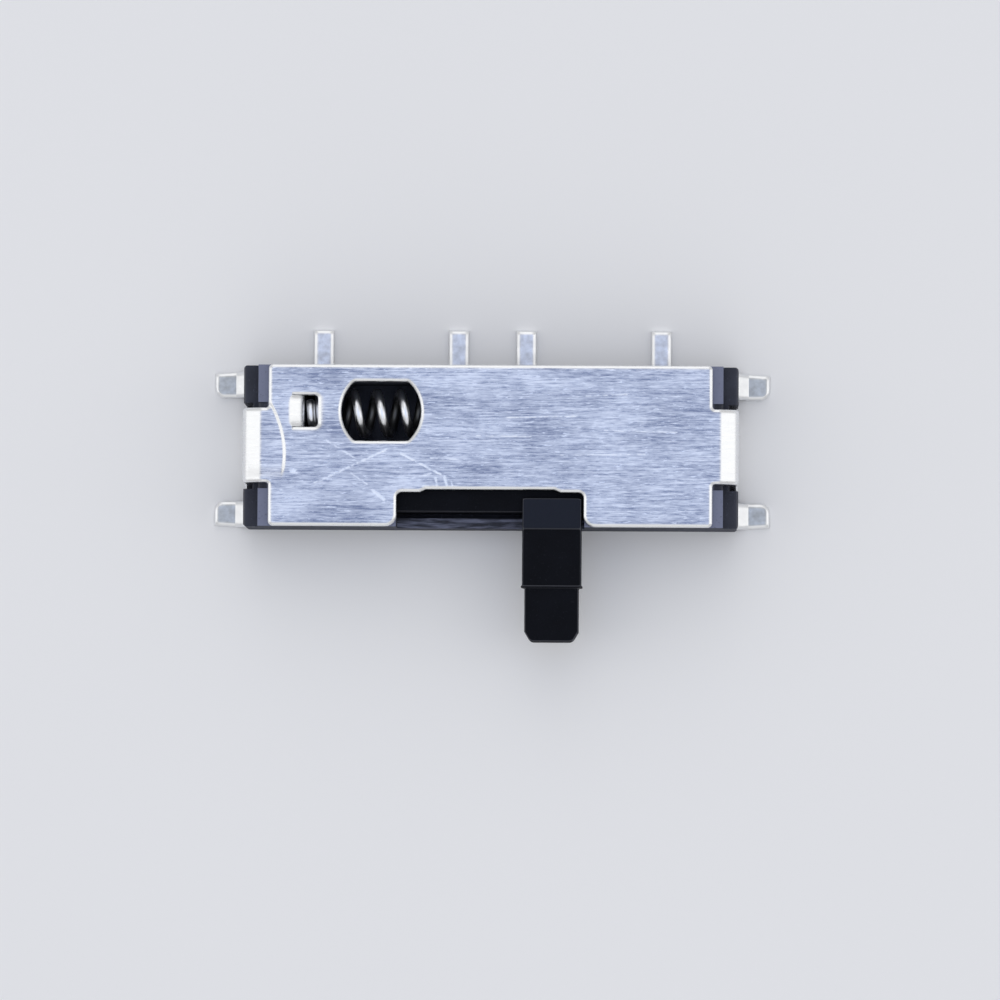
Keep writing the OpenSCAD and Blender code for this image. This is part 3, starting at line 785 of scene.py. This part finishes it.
def formed(points, s):
    """The flat blank folded into the cover: both flaps with their hooks, the tab, and the shallow step
    pressed beside the left flap along a curved line x = a y^2 + b y + c."""
    x, y, depth = points.T
    sheet, top = s["sheet"], COVER_TOP
    start, marks, _, _ = flap_line(sheet)
    reach = np.abs(x)
    flap_x, new_z = folded(reach, depth, sheet)
    new_x = np.where(x < 0, -flap_x, flap_x)
    tab_x, tab_z, on_tab = lanced(x, y, depth, top)
    new_x, new_z = np.where(on_tab, tab_x, new_x), np.where(on_tab, tab_z, new_z)
    pressed = smooth_step((np.polyval(EMBOSS_LINE, y) - x) / EMBOSS_BAND + 0.5)
    beside = (1 - smooth_step((y - FLAP_HALF) / EMBOSS_REAR)) * smooth_step((y + FLAP_HALF) / EMBOSS_FRONT)
    fading = 1 - smooth_step((reach - start - marks[3]) / EMBOSS_DOWN)
    new_z = new_z - s["emboss"] * pressed * beside * fading * (x < 0)
    return np.column_stack([new_x, y, new_z])


def make_cover():
    """The blank cut across its bends and the pressed step, welded, and then folded as formed() says."""
    s = sizes()
    made = flat_cover(s)
    start, marks, _, _ = flap_line(s["sheet"])
    arcs = [np.linspace(marks[i], marks[i + 1], BEND_CUTS) for i in (0, 2, 4)]
    held = marks[:6] + BEND_HOLD * np.array([-1, 1, -1, 1, -1, 1])
    bends = start + np.concatenate([held, *arcs])
    far, wide = start + marks[-1] + MARGIN, PLATE_HALF[1] + MARGIN
    across, slit = (-wide, wide), (TAB_Y - SLIT_HALF, TAB_Y + SLIT_HALF)
    step = (-EMBOSS_WIDE, EMBOSS_WIDE)
    tab_x = np.linspace(TAB_FACE - TAB_REACH[0], TAB_FLAT_TIP, TAB_CUTS_X)
    tab_y = TAB_Y + TAB_HALF * np.sin(np.linspace(-TAB_SWING, TAB_SWING, TAB_CUTS_Y))
    for axis, places, span_x, span_y in (
            (0, bends, (FLAP_SPAN, far), across), (0, -bends, (-far, -FLAP_SPAN), across),
            (0, (LEFT_CUT,), (-far, far), across), (1, slit, (-far, LEFT_CUT), across),
            (0, tab_x, (TAB_LEFT, LEFT_CUT), slit), (1, tab_y, (TAB_LEFT, TAB_FLAT_TIP), slit),
            (0, np.linspace(*EMBOSS_X), (EMBOSS_LEFT, LEFT_CUT), step),
            (1, np.linspace(*EMBOSS_Y), (EMBOSS_LEFT, EMBOSS_RIGHT), step)):
        cut_planes(made, axis, places, span_x, span_y)
    weld(made)
    bmesh.ops.triangulate(made, faces=[f for f in made.faces if len(f.verts) > 4])
    mesh = bpy.data.meshes.new("cover")
    made.to_mesh(mesh)
    made.free()
    flat = np.empty(3 * len(mesh.vertices))
    mesh.vertices.foreach_get("co", flat)
    mesh.vertices.foreach_set("co", (formed(flat.reshape(-1, 3), s) * MM).ravel())
    return new_piece("stamped_cover", smoothed(mesh), nickel_plated_steel(), BASE, "cover_sheet", "cover")


# Slider, in millimetres: the knob, the bar, the spring's lug and pilot, the skids and the wiper's stakes

KNOB_X, KNOB_HALF = 1.36, 0.65
ROOT_Y = -1.14
FRONT_Y = -1.775
RIDGE_Y = -3.085
KNOB_LOW, ROOT_TOP = 1.05, 1.93
SHANK_DROP, SHANK_RAMP = 0.05, 0.08
RIDGE_OUT, RIDGE_HALF = 0.028, 0.022
TIP_INSET, TIP_DROP = 0.055, 0.09
TIP_CUT = np.array([0.13, 0.22])
TIP_EDGE, TIP_STEP, TIP_GAP = 0.07, 0.03, 0.005
# Further places along the knob that keep its flats flat
KNOB_PLACES = (-1.24, -1.745, -1.975, -2.4, -3.285)
# Depth below the top from which a painted sheen makes the top faces paler
SHEEN_DEPTH = 0.03
SUNK = 0.1
BAR_FRONT, BAR_REAR, BAR_LOW, BAR_HIGH = -1.44, 0.0, 0.62, 1.72
BAR_EDGE = 0.03
LUG_X, LUG_REAR, LUG_LOW = (0.9, 2.4), 1.33, 0.58
PILOT_REACH, PILOT_RADIUS, PILOT_EDGE = 0.5, 0.28, 0.08
SKID_LENGTH, SKID_WIDTH, SKID_LOW = 0.6, 0.25, 0.43
STAKES_X, STAKE_Y = (2.3, 2.9), -0.85
STAKE_RADIUS, STAKE_HEAD, STAKE_LOW, HEAD_TOP = 0.12, 0.19, 0.48, 0.54
STAKE_EDGE, HEAD_EDGE = 0.02, 0.025


def knob(s):
    """The knob as round-cornered sections carried forward from its root to its tip.

    Half width, top and underside change along the way: a small ramp in front of the root, a ridge like a
    bell curve at the parting line, a step to the narrower tip, then corners cut off in plan."""
    tip = SLIDER_LOW[1]
    edge = s["knob_edge"]
    bends = np.concatenate([
        np.linspace(FRONT_Y, FRONT_Y - SHANK_RAMP, 5), RIDGE_Y + RIDGE_HALF * np.linspace(3, -3, 19),
        [tip + TIP_CUT[1] + HOLD], np.linspace(tip + TIP_CUT[1], tip + TIP_EDGE + TIP_GAP, 6), KNOB_PLACES])
    y = stations(ROOT_Y, tip, TIP_EDGE, bends, 9)
    bell = RIDGE_OUT * np.exp(-((y - RIDGE_Y) / RIDGE_HALF) ** 2)
    at_tip = smooth_step((RIDGE_Y - y) / TIP_STEP)
    down = SHANK_DROP * smooth_step((FRONT_Y - y) / SHANK_RAMP)
    cut = TIP_CUT[0] * np.clip((tip + TIP_CUT[1] - y) / TIP_CUT[1], 0, 1)
    end = end_inset(ROOT_Y - y, edge) + end_inset(y - tip, TIP_EDGE)
    half = KNOB_HALF - at_tip * TIP_INSET + bell - cut - end
    top = ROOT_TOP - down - at_tip * (TIP_DROP - SHANK_DROP) + bell - end
    low = KNOB_LOW + at_tip * TIP_INSET - bell + end
    flat = section(KNOB_X - half, KNOB_X + half, low, top, (edge, edge), (edge, edge))
    rings = np.stack([flat[..., 0], np.broadcast_to(y[:, None], flat.shape[:2]), flat[..., 1]], -1)
    return tube(rings)


def make_slider():
    """The knob, the bar and the smaller forms under it as closed shells that run into each other."""
    left, right = SLIDER_LOW[0], SLIDER_HIGH[0]
    spring_y = (SPRING_LOW[1] + SPRING_HIGH[1]) / 2
    spring_z = (SPRING_LOW[2] + SPRING_HIGH[2]) / 2
    parts = [
        knob(sizes()),
        block((left, BAR_FRONT, BAR_LOW), (right, BAR_REAR, BAR_HIGH), BAR_EDGE, 0),
        block((LUG_X[0], BAR_REAR - SUNK, LUG_LOW), (LUG_X[1], LUG_REAR, BAR_HIGH), BAR_EDGE, 1),
        rod(LUG_X[0] - PILOT_REACH, LUG_X[0] + SUNK, (spring_y, spring_z), PILOT_RADIUS, 0, PILOT_EDGE),
    ]
    for x in (left, right - SKID_LENGTH):
        parts.append(block((x, BAR_REAR - SKID_WIDTH, SKID_LOW), (x + SKID_LENGTH, BAR_REAR, BAR_LOW + SUNK),
                           BAR_EDGE, 0))
    for x in STAKES_X:
        parts.append(rod(STAKE_LOW, BAR_LOW + SUNK, (x, STAKE_Y), STAKE_RADIUS, 2, STAKE_EDGE))
        parts.append(rod(STAKE_LOW, HEAD_TOP, (x, STAKE_Y), STAKE_HEAD, 2, HEAD_EDGE))
    mesh = mesh_from("slider", *joined(parts))
    c = colours()
    # The top of the knob's root gets a painted sheen
    material = moulded_plastic("black_acetal", c.slider, rough=(0.45, 0.65), grit_mm=0.04, depth_mm=0.01,
                               gloss=0.06, paler_tone=c.slider_painted_sheen, sheen_from=ROOT_TOP - SHEEN_DEPTH)
    return new_piece("knob_and_slider", mesh, material, MOVING, "slider_plastic", "slider")


# Spring: turns, where the first one starts, pitch of the closed ones in wires, and room at its ends

CLOSED_TURNS, OPEN_TURNS = 1.75, 7.75
COIL_PHASE = 0.162
CLOSED_GAP = 1.025
COIL_END = 0.01
STEPS_PER_TURN = 56
WIRE_AROUND = 20


def make_spring():
    """A right-hand coil: the wire's middle turns at the coil radius about X and moves on by the closed
    pitch in its end turns and by the open pitch between. The wire's section is a circle across its path."""
    wire = sizes()["wire"]
    centre = (SPRING_LOW + SPRING_HIGH) / 2
    start, stop = SPRING_LOW[0] + COIL_END, SPRING_HIGH[0] - COIL_END
    radius = (SPRING_HIGH[1] - SPRING_LOW[1] - wire) / 2
    turns = 2 * CLOSED_TURNS + OPEN_TURNS
    closed = wire * CLOSED_GAP
    open_pitch = (stop - start - wire - 2 * CLOSED_TURNS * closed) / OPEN_TURNS
    t = np.linspace(0, turns, int(turns * STEPS_PER_TURN))
    x = (start + wire / 2 + np.minimum(t, CLOSED_TURNS) * closed
         + np.clip(t - CLOSED_TURNS, 0, OPEN_TURNS) * open_pitch
         + np.maximum(t - CLOSED_TURNS - OPEN_TURNS, 0) * closed)
    swing = 2 * np.pi * (t + COIL_PHASE)
    out = np.stack([np.zeros_like(t), np.cos(swing), np.sin(swing)], 1)
    middle = np.column_stack([x, centre[1] + radius * out[:, 1], centre[2] + radius * out[:, 2]])
    ahead = np.gradient(middle, axis=0)
    ahead /= np.linalg.norm(ahead, axis=1, keepdims=True)
    side = np.cross(ahead, out)
    turn = np.linspace(0, 2 * np.pi, WIRE_AROUND, endpoint=False)
    rings = middle[:, None] + wire / 2 * (np.cos(turn)[None, :, None] * out[:, None]
                                          + np.sin(turn)[None, :, None] * side[:, None])
    mesh = mesh_from("return_spring", *tube(rings))
    piece = new_piece("coil_spring", mesh, bright_spring_wire(), BASE, "spring_wire", "return_spring")
    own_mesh(piece)
    return piece


# Leads, in millimetres: the terminals with their pads inside, and the solder feet

LEAD_X = {"common_terminal": -3.75, "left_terminal": -0.75, "middle_terminal": 0.75, "right_terminal": 3.75}
LEAD_HALF = 0.225
FLOOR_Z = 0.4
JOG_Y = 1.2
TAIL_TIP = 2.675
RAIL = (-1.3, -1.0)
THROW = (-0.7, -0.4)
PAD_SPAN = {"common_terminal": (-3.975, 2.1, RAIL), "left_terminal": (-1.6, -0.525, THROW),
            "middle_terminal": (-0.35, 0.975, THROW), "right_terminal": (1.15, 3.975, THROW)}
PAD_SINK, PAD_EDGE = 0.001, 0.01
FOOT_HALF, FOOT_Y = 0.3, 1.45
FOOT_ROOT = 4.95
FOOT_WALL = 5.27
FOOT_BEND = 0.1
FOOT_SLOPE = math.radians(40)
FOOT_DROP = 0.3
FOOT_TIP = 6.17
FOOT_CORNER = 0.22
FOOT_TAPER = 0.06
LEAD_ROLL_HEIGHT = 0.075
LEAD_LOWER_EDGE = 0.015
LEAD_ARC_PLACES, LEAD_TIP_PLACES = 12, 14


def bent_path(start, bend, radius, slope, level, drop, tip, fine):
    """A strip's middle line in its own upright plane: (along, height, slope).

    It is level to the bend, turns down by an arc of the radius to the slope, runs straight by what is left
    of the drop, turns back and is flat to the tip, with places close together over the last stretch, fine."""
    straight = (drop - 2 * radius * (1 - math.cos(slope))) / math.sin(slope)
    run = 2 * radius * math.sin(slope) + straight * math.cos(slope)
    marks = np.cumsum([0, bend - start, radius * slope, straight, radius * slope, tip - bend - run])
    angles = np.array([0, 0, slope, slope, 0, 0])
    lengths, place, fall = running_line(marks, angles)
    places = np.concatenate([
        [0, marks[1] - BEND_HOLD], np.linspace(marks[1], marks[2], LEAD_ARC_PLACES),
        np.linspace(marks[3], marks[4], LEAD_ARC_PLACES)[1:], [marks[4] + BEND_HOLD, marks[5] - 1.05 * fine],
        marks[5] - fine * np.cos(np.linspace(0, np.pi / 2, LEAD_TIP_PLACES))])
    return (start + np.interp(places, lengths, place), level - np.interp(places, lengths, fall),
            -np.interp(places, marks, angles))


def strip(path, low_side, high_side, s, tip):
    """Rings (along, across, height) of a strip with rolled upper edges, carried along a bent path.

    The upper face comes down over the last stretch as the roll does at the sides."""
    along, height, slope = path
    roll, thick = s["lead_roll"], s["lead"]
    fall = LEAD_ROLL_HEIGHT * end_inset(tip - along, roll) / roll
    flat = section(low_side, high_side, np.full_like(along, -thick / 2), thick / 2 - fall,
                   (roll, LEAD_ROLL_HEIGHT), (LEAD_LOWER_EDGE, LEAD_LOWER_EDGE), 7)
    across, up = flat[..., 0], flat[..., 1]
    return np.stack([along[:, None] - up * np.sin(slope)[:, None], across,
                     height[:, None] + up * np.cos(slope)[:, None]], -1)


def make_terminals():
    """Each terminal is a strip jogged down to the board, with a pad on the housing's floor."""
    s = sizes()
    material = tin_plated_brass("tin_plated_brass", colours().tin)
    level = FLOOR_Z - s["lead"] / 2
    radius = (level - s["lead"] / 2) / 2
    for name, x in LEAD_X.items():
        low, high, (front, rear) = PAD_SPAN[name]
        path = bent_path(front, JOG_Y, radius, math.pi / 2, level, 2 * radius, TAIL_TIP, s["lead_roll"])
        side = np.full_like(path[0], LEAD_HALF)
        rings = strip(path, x - side, x + side, s, TAIL_TIP)
        pad = block((low, front, FLOOR_Z - s["lead"]), (high, rear, FLOOR_Z - PAD_SINK), PAD_EDGE, 0)
        mesh = mesh_from(name, *joined([tube(rings[..., [1, 0, 2]]), pad]))
        new_piece("formed_" + name, mesh, material, BASE, "tinned_lead", name)


def make_feet():
    """One strip, sloped down to the board, tapered and with one round corner, mirrored to four feet."""
    s = sizes()
    material = tin_plated_brass("dull_tin_plated_brass", colours().tin_dull)
    path = bent_path(FOOT_ROOT, FOOT_WALL, FOOT_BEND, FOOT_SLOPE, FOOT_DROP + s["lead"] / 2, FOOT_DROP,
                     FOOT_TIP, FOOT_CORNER)
    come_in = end_inset(FOOT_TIP - path[0], FOOT_CORNER)
    outside = FOOT_Y + FOOT_HALF - FOOT_TAPER * np.clip((path[0] - FOOT_WALL) / (FOOT_TIP - FOOT_WALL), 0, 1)
    rings = strip(path, FOOT_Y - FOOT_HALF + come_in, outside, s, FOOT_TIP)
    for side_name, end in (("left", -1), ("right", 1)):
        for row_name, row in (("rear", 1), ("front", -1)):
            name = f"{side_name}_{row_name}_foot"
            mesh = mesh_from(name, *tube(rings * np.array([end, row, 1])))
            new_piece("formed_" + name, mesh, material, BASE, "tinned_lead", name)


# Housing: height of its sill, angle up to which faces are merged, and length from which edges are rounded

SILL_Z = 0.95
LEVEL = math.radians(1)
LONG_EDGE = 0.25


def make_housing():
    """The frame's own housing with its outer edges rounded: its triangles are merged into flat faces in
    millimetres, and the long outward edges are bevelled."""
    made = bmesh.new()
    made.from_mesh(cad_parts["housing"].data)
    bmesh.ops.scale(made, vec=(1 / MM,) * 3, verts=made.verts)
    bmesh.ops.remove_doubles(made, verts=made.verts, dist=WELD)
    bmesh.ops.dissolve_limit(made, angle_limit=LEVEL, verts=made.verts, edges=made.edges)
    outward = [e for e in made.edges if len(e.link_faces) == 2 and e.is_convex
               and e.calc_face_angle() > SHARP and e.calc_length() > LONG_EDGE]
    for face in made.faces:
        face.smooth = False
    rounded = bmesh.ops.bevel(made, geom=outward, offset=sizes()["housing_edge"], offset_type="OFFSET",
                              segments=3, profile=0.5, affect="EDGES", clamp_overlap=True)
    for face in rounded["faces"]:
        face.smooth = True
    weld(made)
    bmesh.ops.scale(made, vec=(MM,) * 3, verts=made.verts)
    mesh = bpy.data.meshes.new("housing")
    made.to_mesh(mesh)
    made.free()
    c = colours()
    # The tops of the corner blocks get a painted sheen; the sill gets streaks of the same tone
    material = moulded_plastic("glass_filled_polyamide", c.housing, rough=(0.6, 0.8), grit_mm=0.05,
                               depth_mm=0.008, gloss=0.25, paler_tone=c.housing_painted_sheen_and_streaks,
                               sheen_from=HOUSING_HIGH[2] - SHEEN_DEPTH, streaks_at=SILL_Z)
    return new_piece("moulded_housing", mesh, material, BASE, "housing_plastic", "housing")


def dress_wiper():
    """The wiper keeps its frame solid, and takes the bronze finish."""
    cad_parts["wiper"].material_slots[0].material = phosphor_bronze()


# Stage, in millimetres and degrees

VIEW_TILT_FRONT = 3.0
VIEW_TILT_RIGHT = 1.2
VIEW_DISTANCE = 150.0
VIEW_WIDTH = 22.22
VIEW_ROLL = 0.35
VIEW_AIM = Vector((0.18, -1.09, 0.0))
VIEW_CLIP = (1.0, 5000.0)
SENSOR = 36.0
FLOOR_HALF = 1500.0
FLOOR_DROP = 0.01
BOX_DISTANCE = 250.0
BOX_SIDES = (134.0, 325.0)
# Name, azimuth from +X and elevation in degrees, radiance
SOFTBOXES = (("rear", 92.0, 42.0, 0.5), ("left", 180.0, 38.0, 0.58), ("right", 0.0, 38.0, 0.6),
             ("front", -90.0, 42.0, 0.25))
# Walls, their rise towards the rear, the opening, the heights between which it begins, and both colours
TENT_WALLS, TENT_REAR, TENT_OVERHEAD = 0.68, 0.06, 1.13
TENT_OPENING = (0.9, 0.96)
TENT_CLOTH, TENT_SKY = "#F8F8F9", "#D4E2FF"


def softbox(name, azimuth, elevation, radiance):
    """A soft rectangular lamp that faces the origin from a direction; its power is pi x area x radiance."""
    data = bpy.data.lights.new(name, "AREA")
    data.shape = "RECTANGLE"
    data.size, data.size_y = (side * MM for side in BOX_SIDES)
    data.energy = math.pi * data.size * data.size_y * radiance
    turn, lift = math.radians(azimuth), math.radians(elevation)
    towards = Vector((math.cos(turn) * math.cos(lift), math.sin(turn) * math.cos(lift), math.sin(lift)))
    lamp = bpy.data.objects.new(name, data)
    lamp.location = towards * BOX_DISTANCE * MM
    lamp.rotation_euler = (-towards).to_track_quat("-Z", "Y").to_euler()
    lamp.visible_camera = False
    bpy.context.scene.collection.objects.link(lamp)
    return lamp


def studio_world():
    """A light tent: plain soft walls, a little brighter behind, with a brighter, cooler opening overhead."""
    world = bpy.data.worlds.new("studio")
    world.use_nodes = True
    tree = world.node_tree
    _, rear, up = add(tree, "ShaderNodeSeparateXYZ",
                      (add(tree, "ShaderNodeTexCoord", out="Generated"),)).node.outputs
    opening = add(tree, RAMP, (up, *TENT_OPENING))
    walls = add(tree, MATHS, (rear, TENT_REAR, TENT_WALLS), operation="MULTIPLY_ADD")
    level = add(tree, MIX, {0: opening, 2: walls, 3: TENT_OVERHEAD}, data_type="FLOAT")
    tone = add(tree, MIX, {0: opening, 6: (*linear(TENT_CLOTH), 1), 7: (*linear(TENT_SKY), 1)}, 2,
               data_type="RGBA")
    background = tree.nodes["Background"]
    tree.links.new(tone, background.inputs[0])
    tree.links.new(level, background.inputs[1])
    return world


def pale_painted_board():
    """Matt painted board: pale and very faintly clouded, with no sheen."""
    floor = colours().floor
    material, tree, place = new_finish("pale_painted_board")
    cloud = grain(tree, place, (0.05, 0.05, 0.05), 2.0)
    toned = add(tree, MIX, {0: cloud, 6: scaled_colour(floor, 0.97), 7: (*floor, 1)}, 2, data_type="RGBA")
    end_finish(tree, {"Roughness": 0.9, "Specular IOR Level": 0.1, "Base Color": toned})
    return material


def make_stage():
    """The floor just under the leads, the lamps and the tent, and the camera.

    The camera stands over its aim, off the upright by the tangents of two tilts, and is rolled a little."""
    scene = bpy.context.scene
    points = np.array([(-1, -1, 0), (1, -1, 0), (1, 1, 0), (-1, 1, 0)], float) * FLOOR_HALF
    points[:, 2] = HOUSING_LOW[2] - FLOOR_DROP
    mesh = bpy.data.meshes.new("floor")
    mesh.from_pydata(points * MM, [], [[0, 1, 2, 3]])
    mesh.materials.append(pale_painted_board())
    floor = bpy.data.objects.new("floor", mesh)
    scene.collection.objects.link(floor)
    for lamp in SOFTBOXES:
        softbox(*lamp)
    scene.world = studio_world()
    scene.view_settings.view_transform = "Standard"
    right, front = (math.tan(math.radians(tilt)) for tilt in (VIEW_TILT_RIGHT, VIEW_TILT_FRONT))
    back = Vector((right, -front, 1)).normalized()
    across = Vector((0, 1, 0)).cross(back).normalized()
    data = bpy.data.cameras.new("camera")
    data.sensor_width = SENSOR
    data.lens = SENSOR * VIEW_DISTANCE / VIEW_WIDTH
    data.clip_start, data.clip_end = (reach * MM for reach in VIEW_CLIP)
    camera = bpy.data.objects.new("camera", data)
    turn = Matrix((across, back.cross(across), back)).transposed().to_4x4()
    camera.matrix_world = (Matrix.Translation((VIEW_AIM + back * VIEW_DISTANCE) * MM) @ turn
                           @ Matrix.Rotation(math.radians(VIEW_ROLL), 4, "Z"))
    scene.collection.objects.link(camera)
    scene.camera = camera


# Operators, panel and registration

class SLIDESWITCH_OT_housing(bpy.types.Operator):
    """Makes the moulded housing"""
    bl_idname = "slide_switch.housing"
    bl_label = "Housing"

    def execute(self, context):
        make_housing()
        return {"FINISHED"}


class SLIDESWITCH_OT_cover(bpy.types.Operator):
    """Makes the stamped and folded cover"""
    bl_idname = "slide_switch.cover"
    bl_label = "Cover"

    def execute(self, context):
        make_cover()
        return {"FINISHED"}


class SLIDESWITCH_OT_slider(bpy.types.Operator):
    """Makes the slider with its knob"""
    bl_idname = "slide_switch.slider"
    bl_label = "Slider"

    def execute(self, context):
        make_slider()
        return {"FINISHED"}


class SLIDESWITCH_OT_spring(bpy.types.Operator):
    """Makes the return spring"""
    bl_idname = "slide_switch.spring"
    bl_label = "Return Spring"

    def execute(self, context):
        make_spring()
        return {"FINISHED"}


class SLIDESWITCH_OT_leads(bpy.types.Operator):
    """Makes the terminals and the solder feet"""
    bl_idname = "slide_switch.leads"
    bl_label = "Leads"

    def execute(self, context):
        make_terminals()
        make_feet()
        return {"FINISHED"}


class SLIDESWITCH_OT_wiper(bpy.types.Operator):
    """Gives the wiper its finish"""
    bl_idname = "slide_switch.wiper"
    bl_label = "Wiper"

    def execute(self, context):
        dress_wiper()
        return {"FINISHED"}


class SLIDESWITCH_OT_stage(bpy.types.Operator):
    """Makes the floor, the lamps and the camera"""
    bl_idname = "slide_switch.stage"
    bl_label = "Stage"

    def execute(self, context):
        make_stage()
        return {"FINISHED"}


OPERATORS = (SLIDESWITCH_OT_housing, SLIDESWITCH_OT_cover, SLIDESWITCH_OT_slider, SLIDESWITCH_OT_spring,
             SLIDESWITCH_OT_leads, SLIDESWITCH_OT_wiper, SLIDESWITCH_OT_stage)


class SLIDESWITCH_PT_panel(bpy.types.Panel):
    """Lists the pieces with their sizes and colours"""
    bl_idname = "SLIDESWITCH_PT_panel"
    bl_label = "Slide Switch"
    bl_space_type = "VIEW_3D"
    bl_region_type = "UI"
    bl_category = "Slide Switch"

    def draw(self, context):
        column = self.layout.column()
        for operator in OPERATORS:
            column.operator(operator.bl_idname)
        for group in (context.scene.slide_switch_sizes, context.scene.slide_switch_colours):
            for key in type(group).__annotations__:
                column.prop(group, key)


CLASSES = (SwitchSizes, SwitchColours, *OPERATORS, SLIDESWITCH_PT_panel)


def register():
    for made in CLASSES:
        bpy.utils.register_class(made)
    bpy.types.Scene.slide_switch_sizes = PointerProperty(type=SwitchSizes)
    bpy.types.Scene.slide_switch_colours = PointerProperty(type=SwitchColours)


def unregister():
    del bpy.types.Scene.slide_switch_colours
    del bpy.types.Scene.slide_switch_sizes
    for made in reversed(CLASSES):
        bpy.utils.unregister_class(made)


def main():
    register()
    bpy.ops.slide_switch.housing()
    bpy.ops.slide_switch.cover()
    bpy.ops.slide_switch.slider()
    bpy.ops.slide_switch.spring()
    bpy.ops.slide_switch.leads()
    bpy.ops.slide_switch.wiper()
    bpy.ops.slide_switch.stage()


if __name__ == "__main__":
    main()
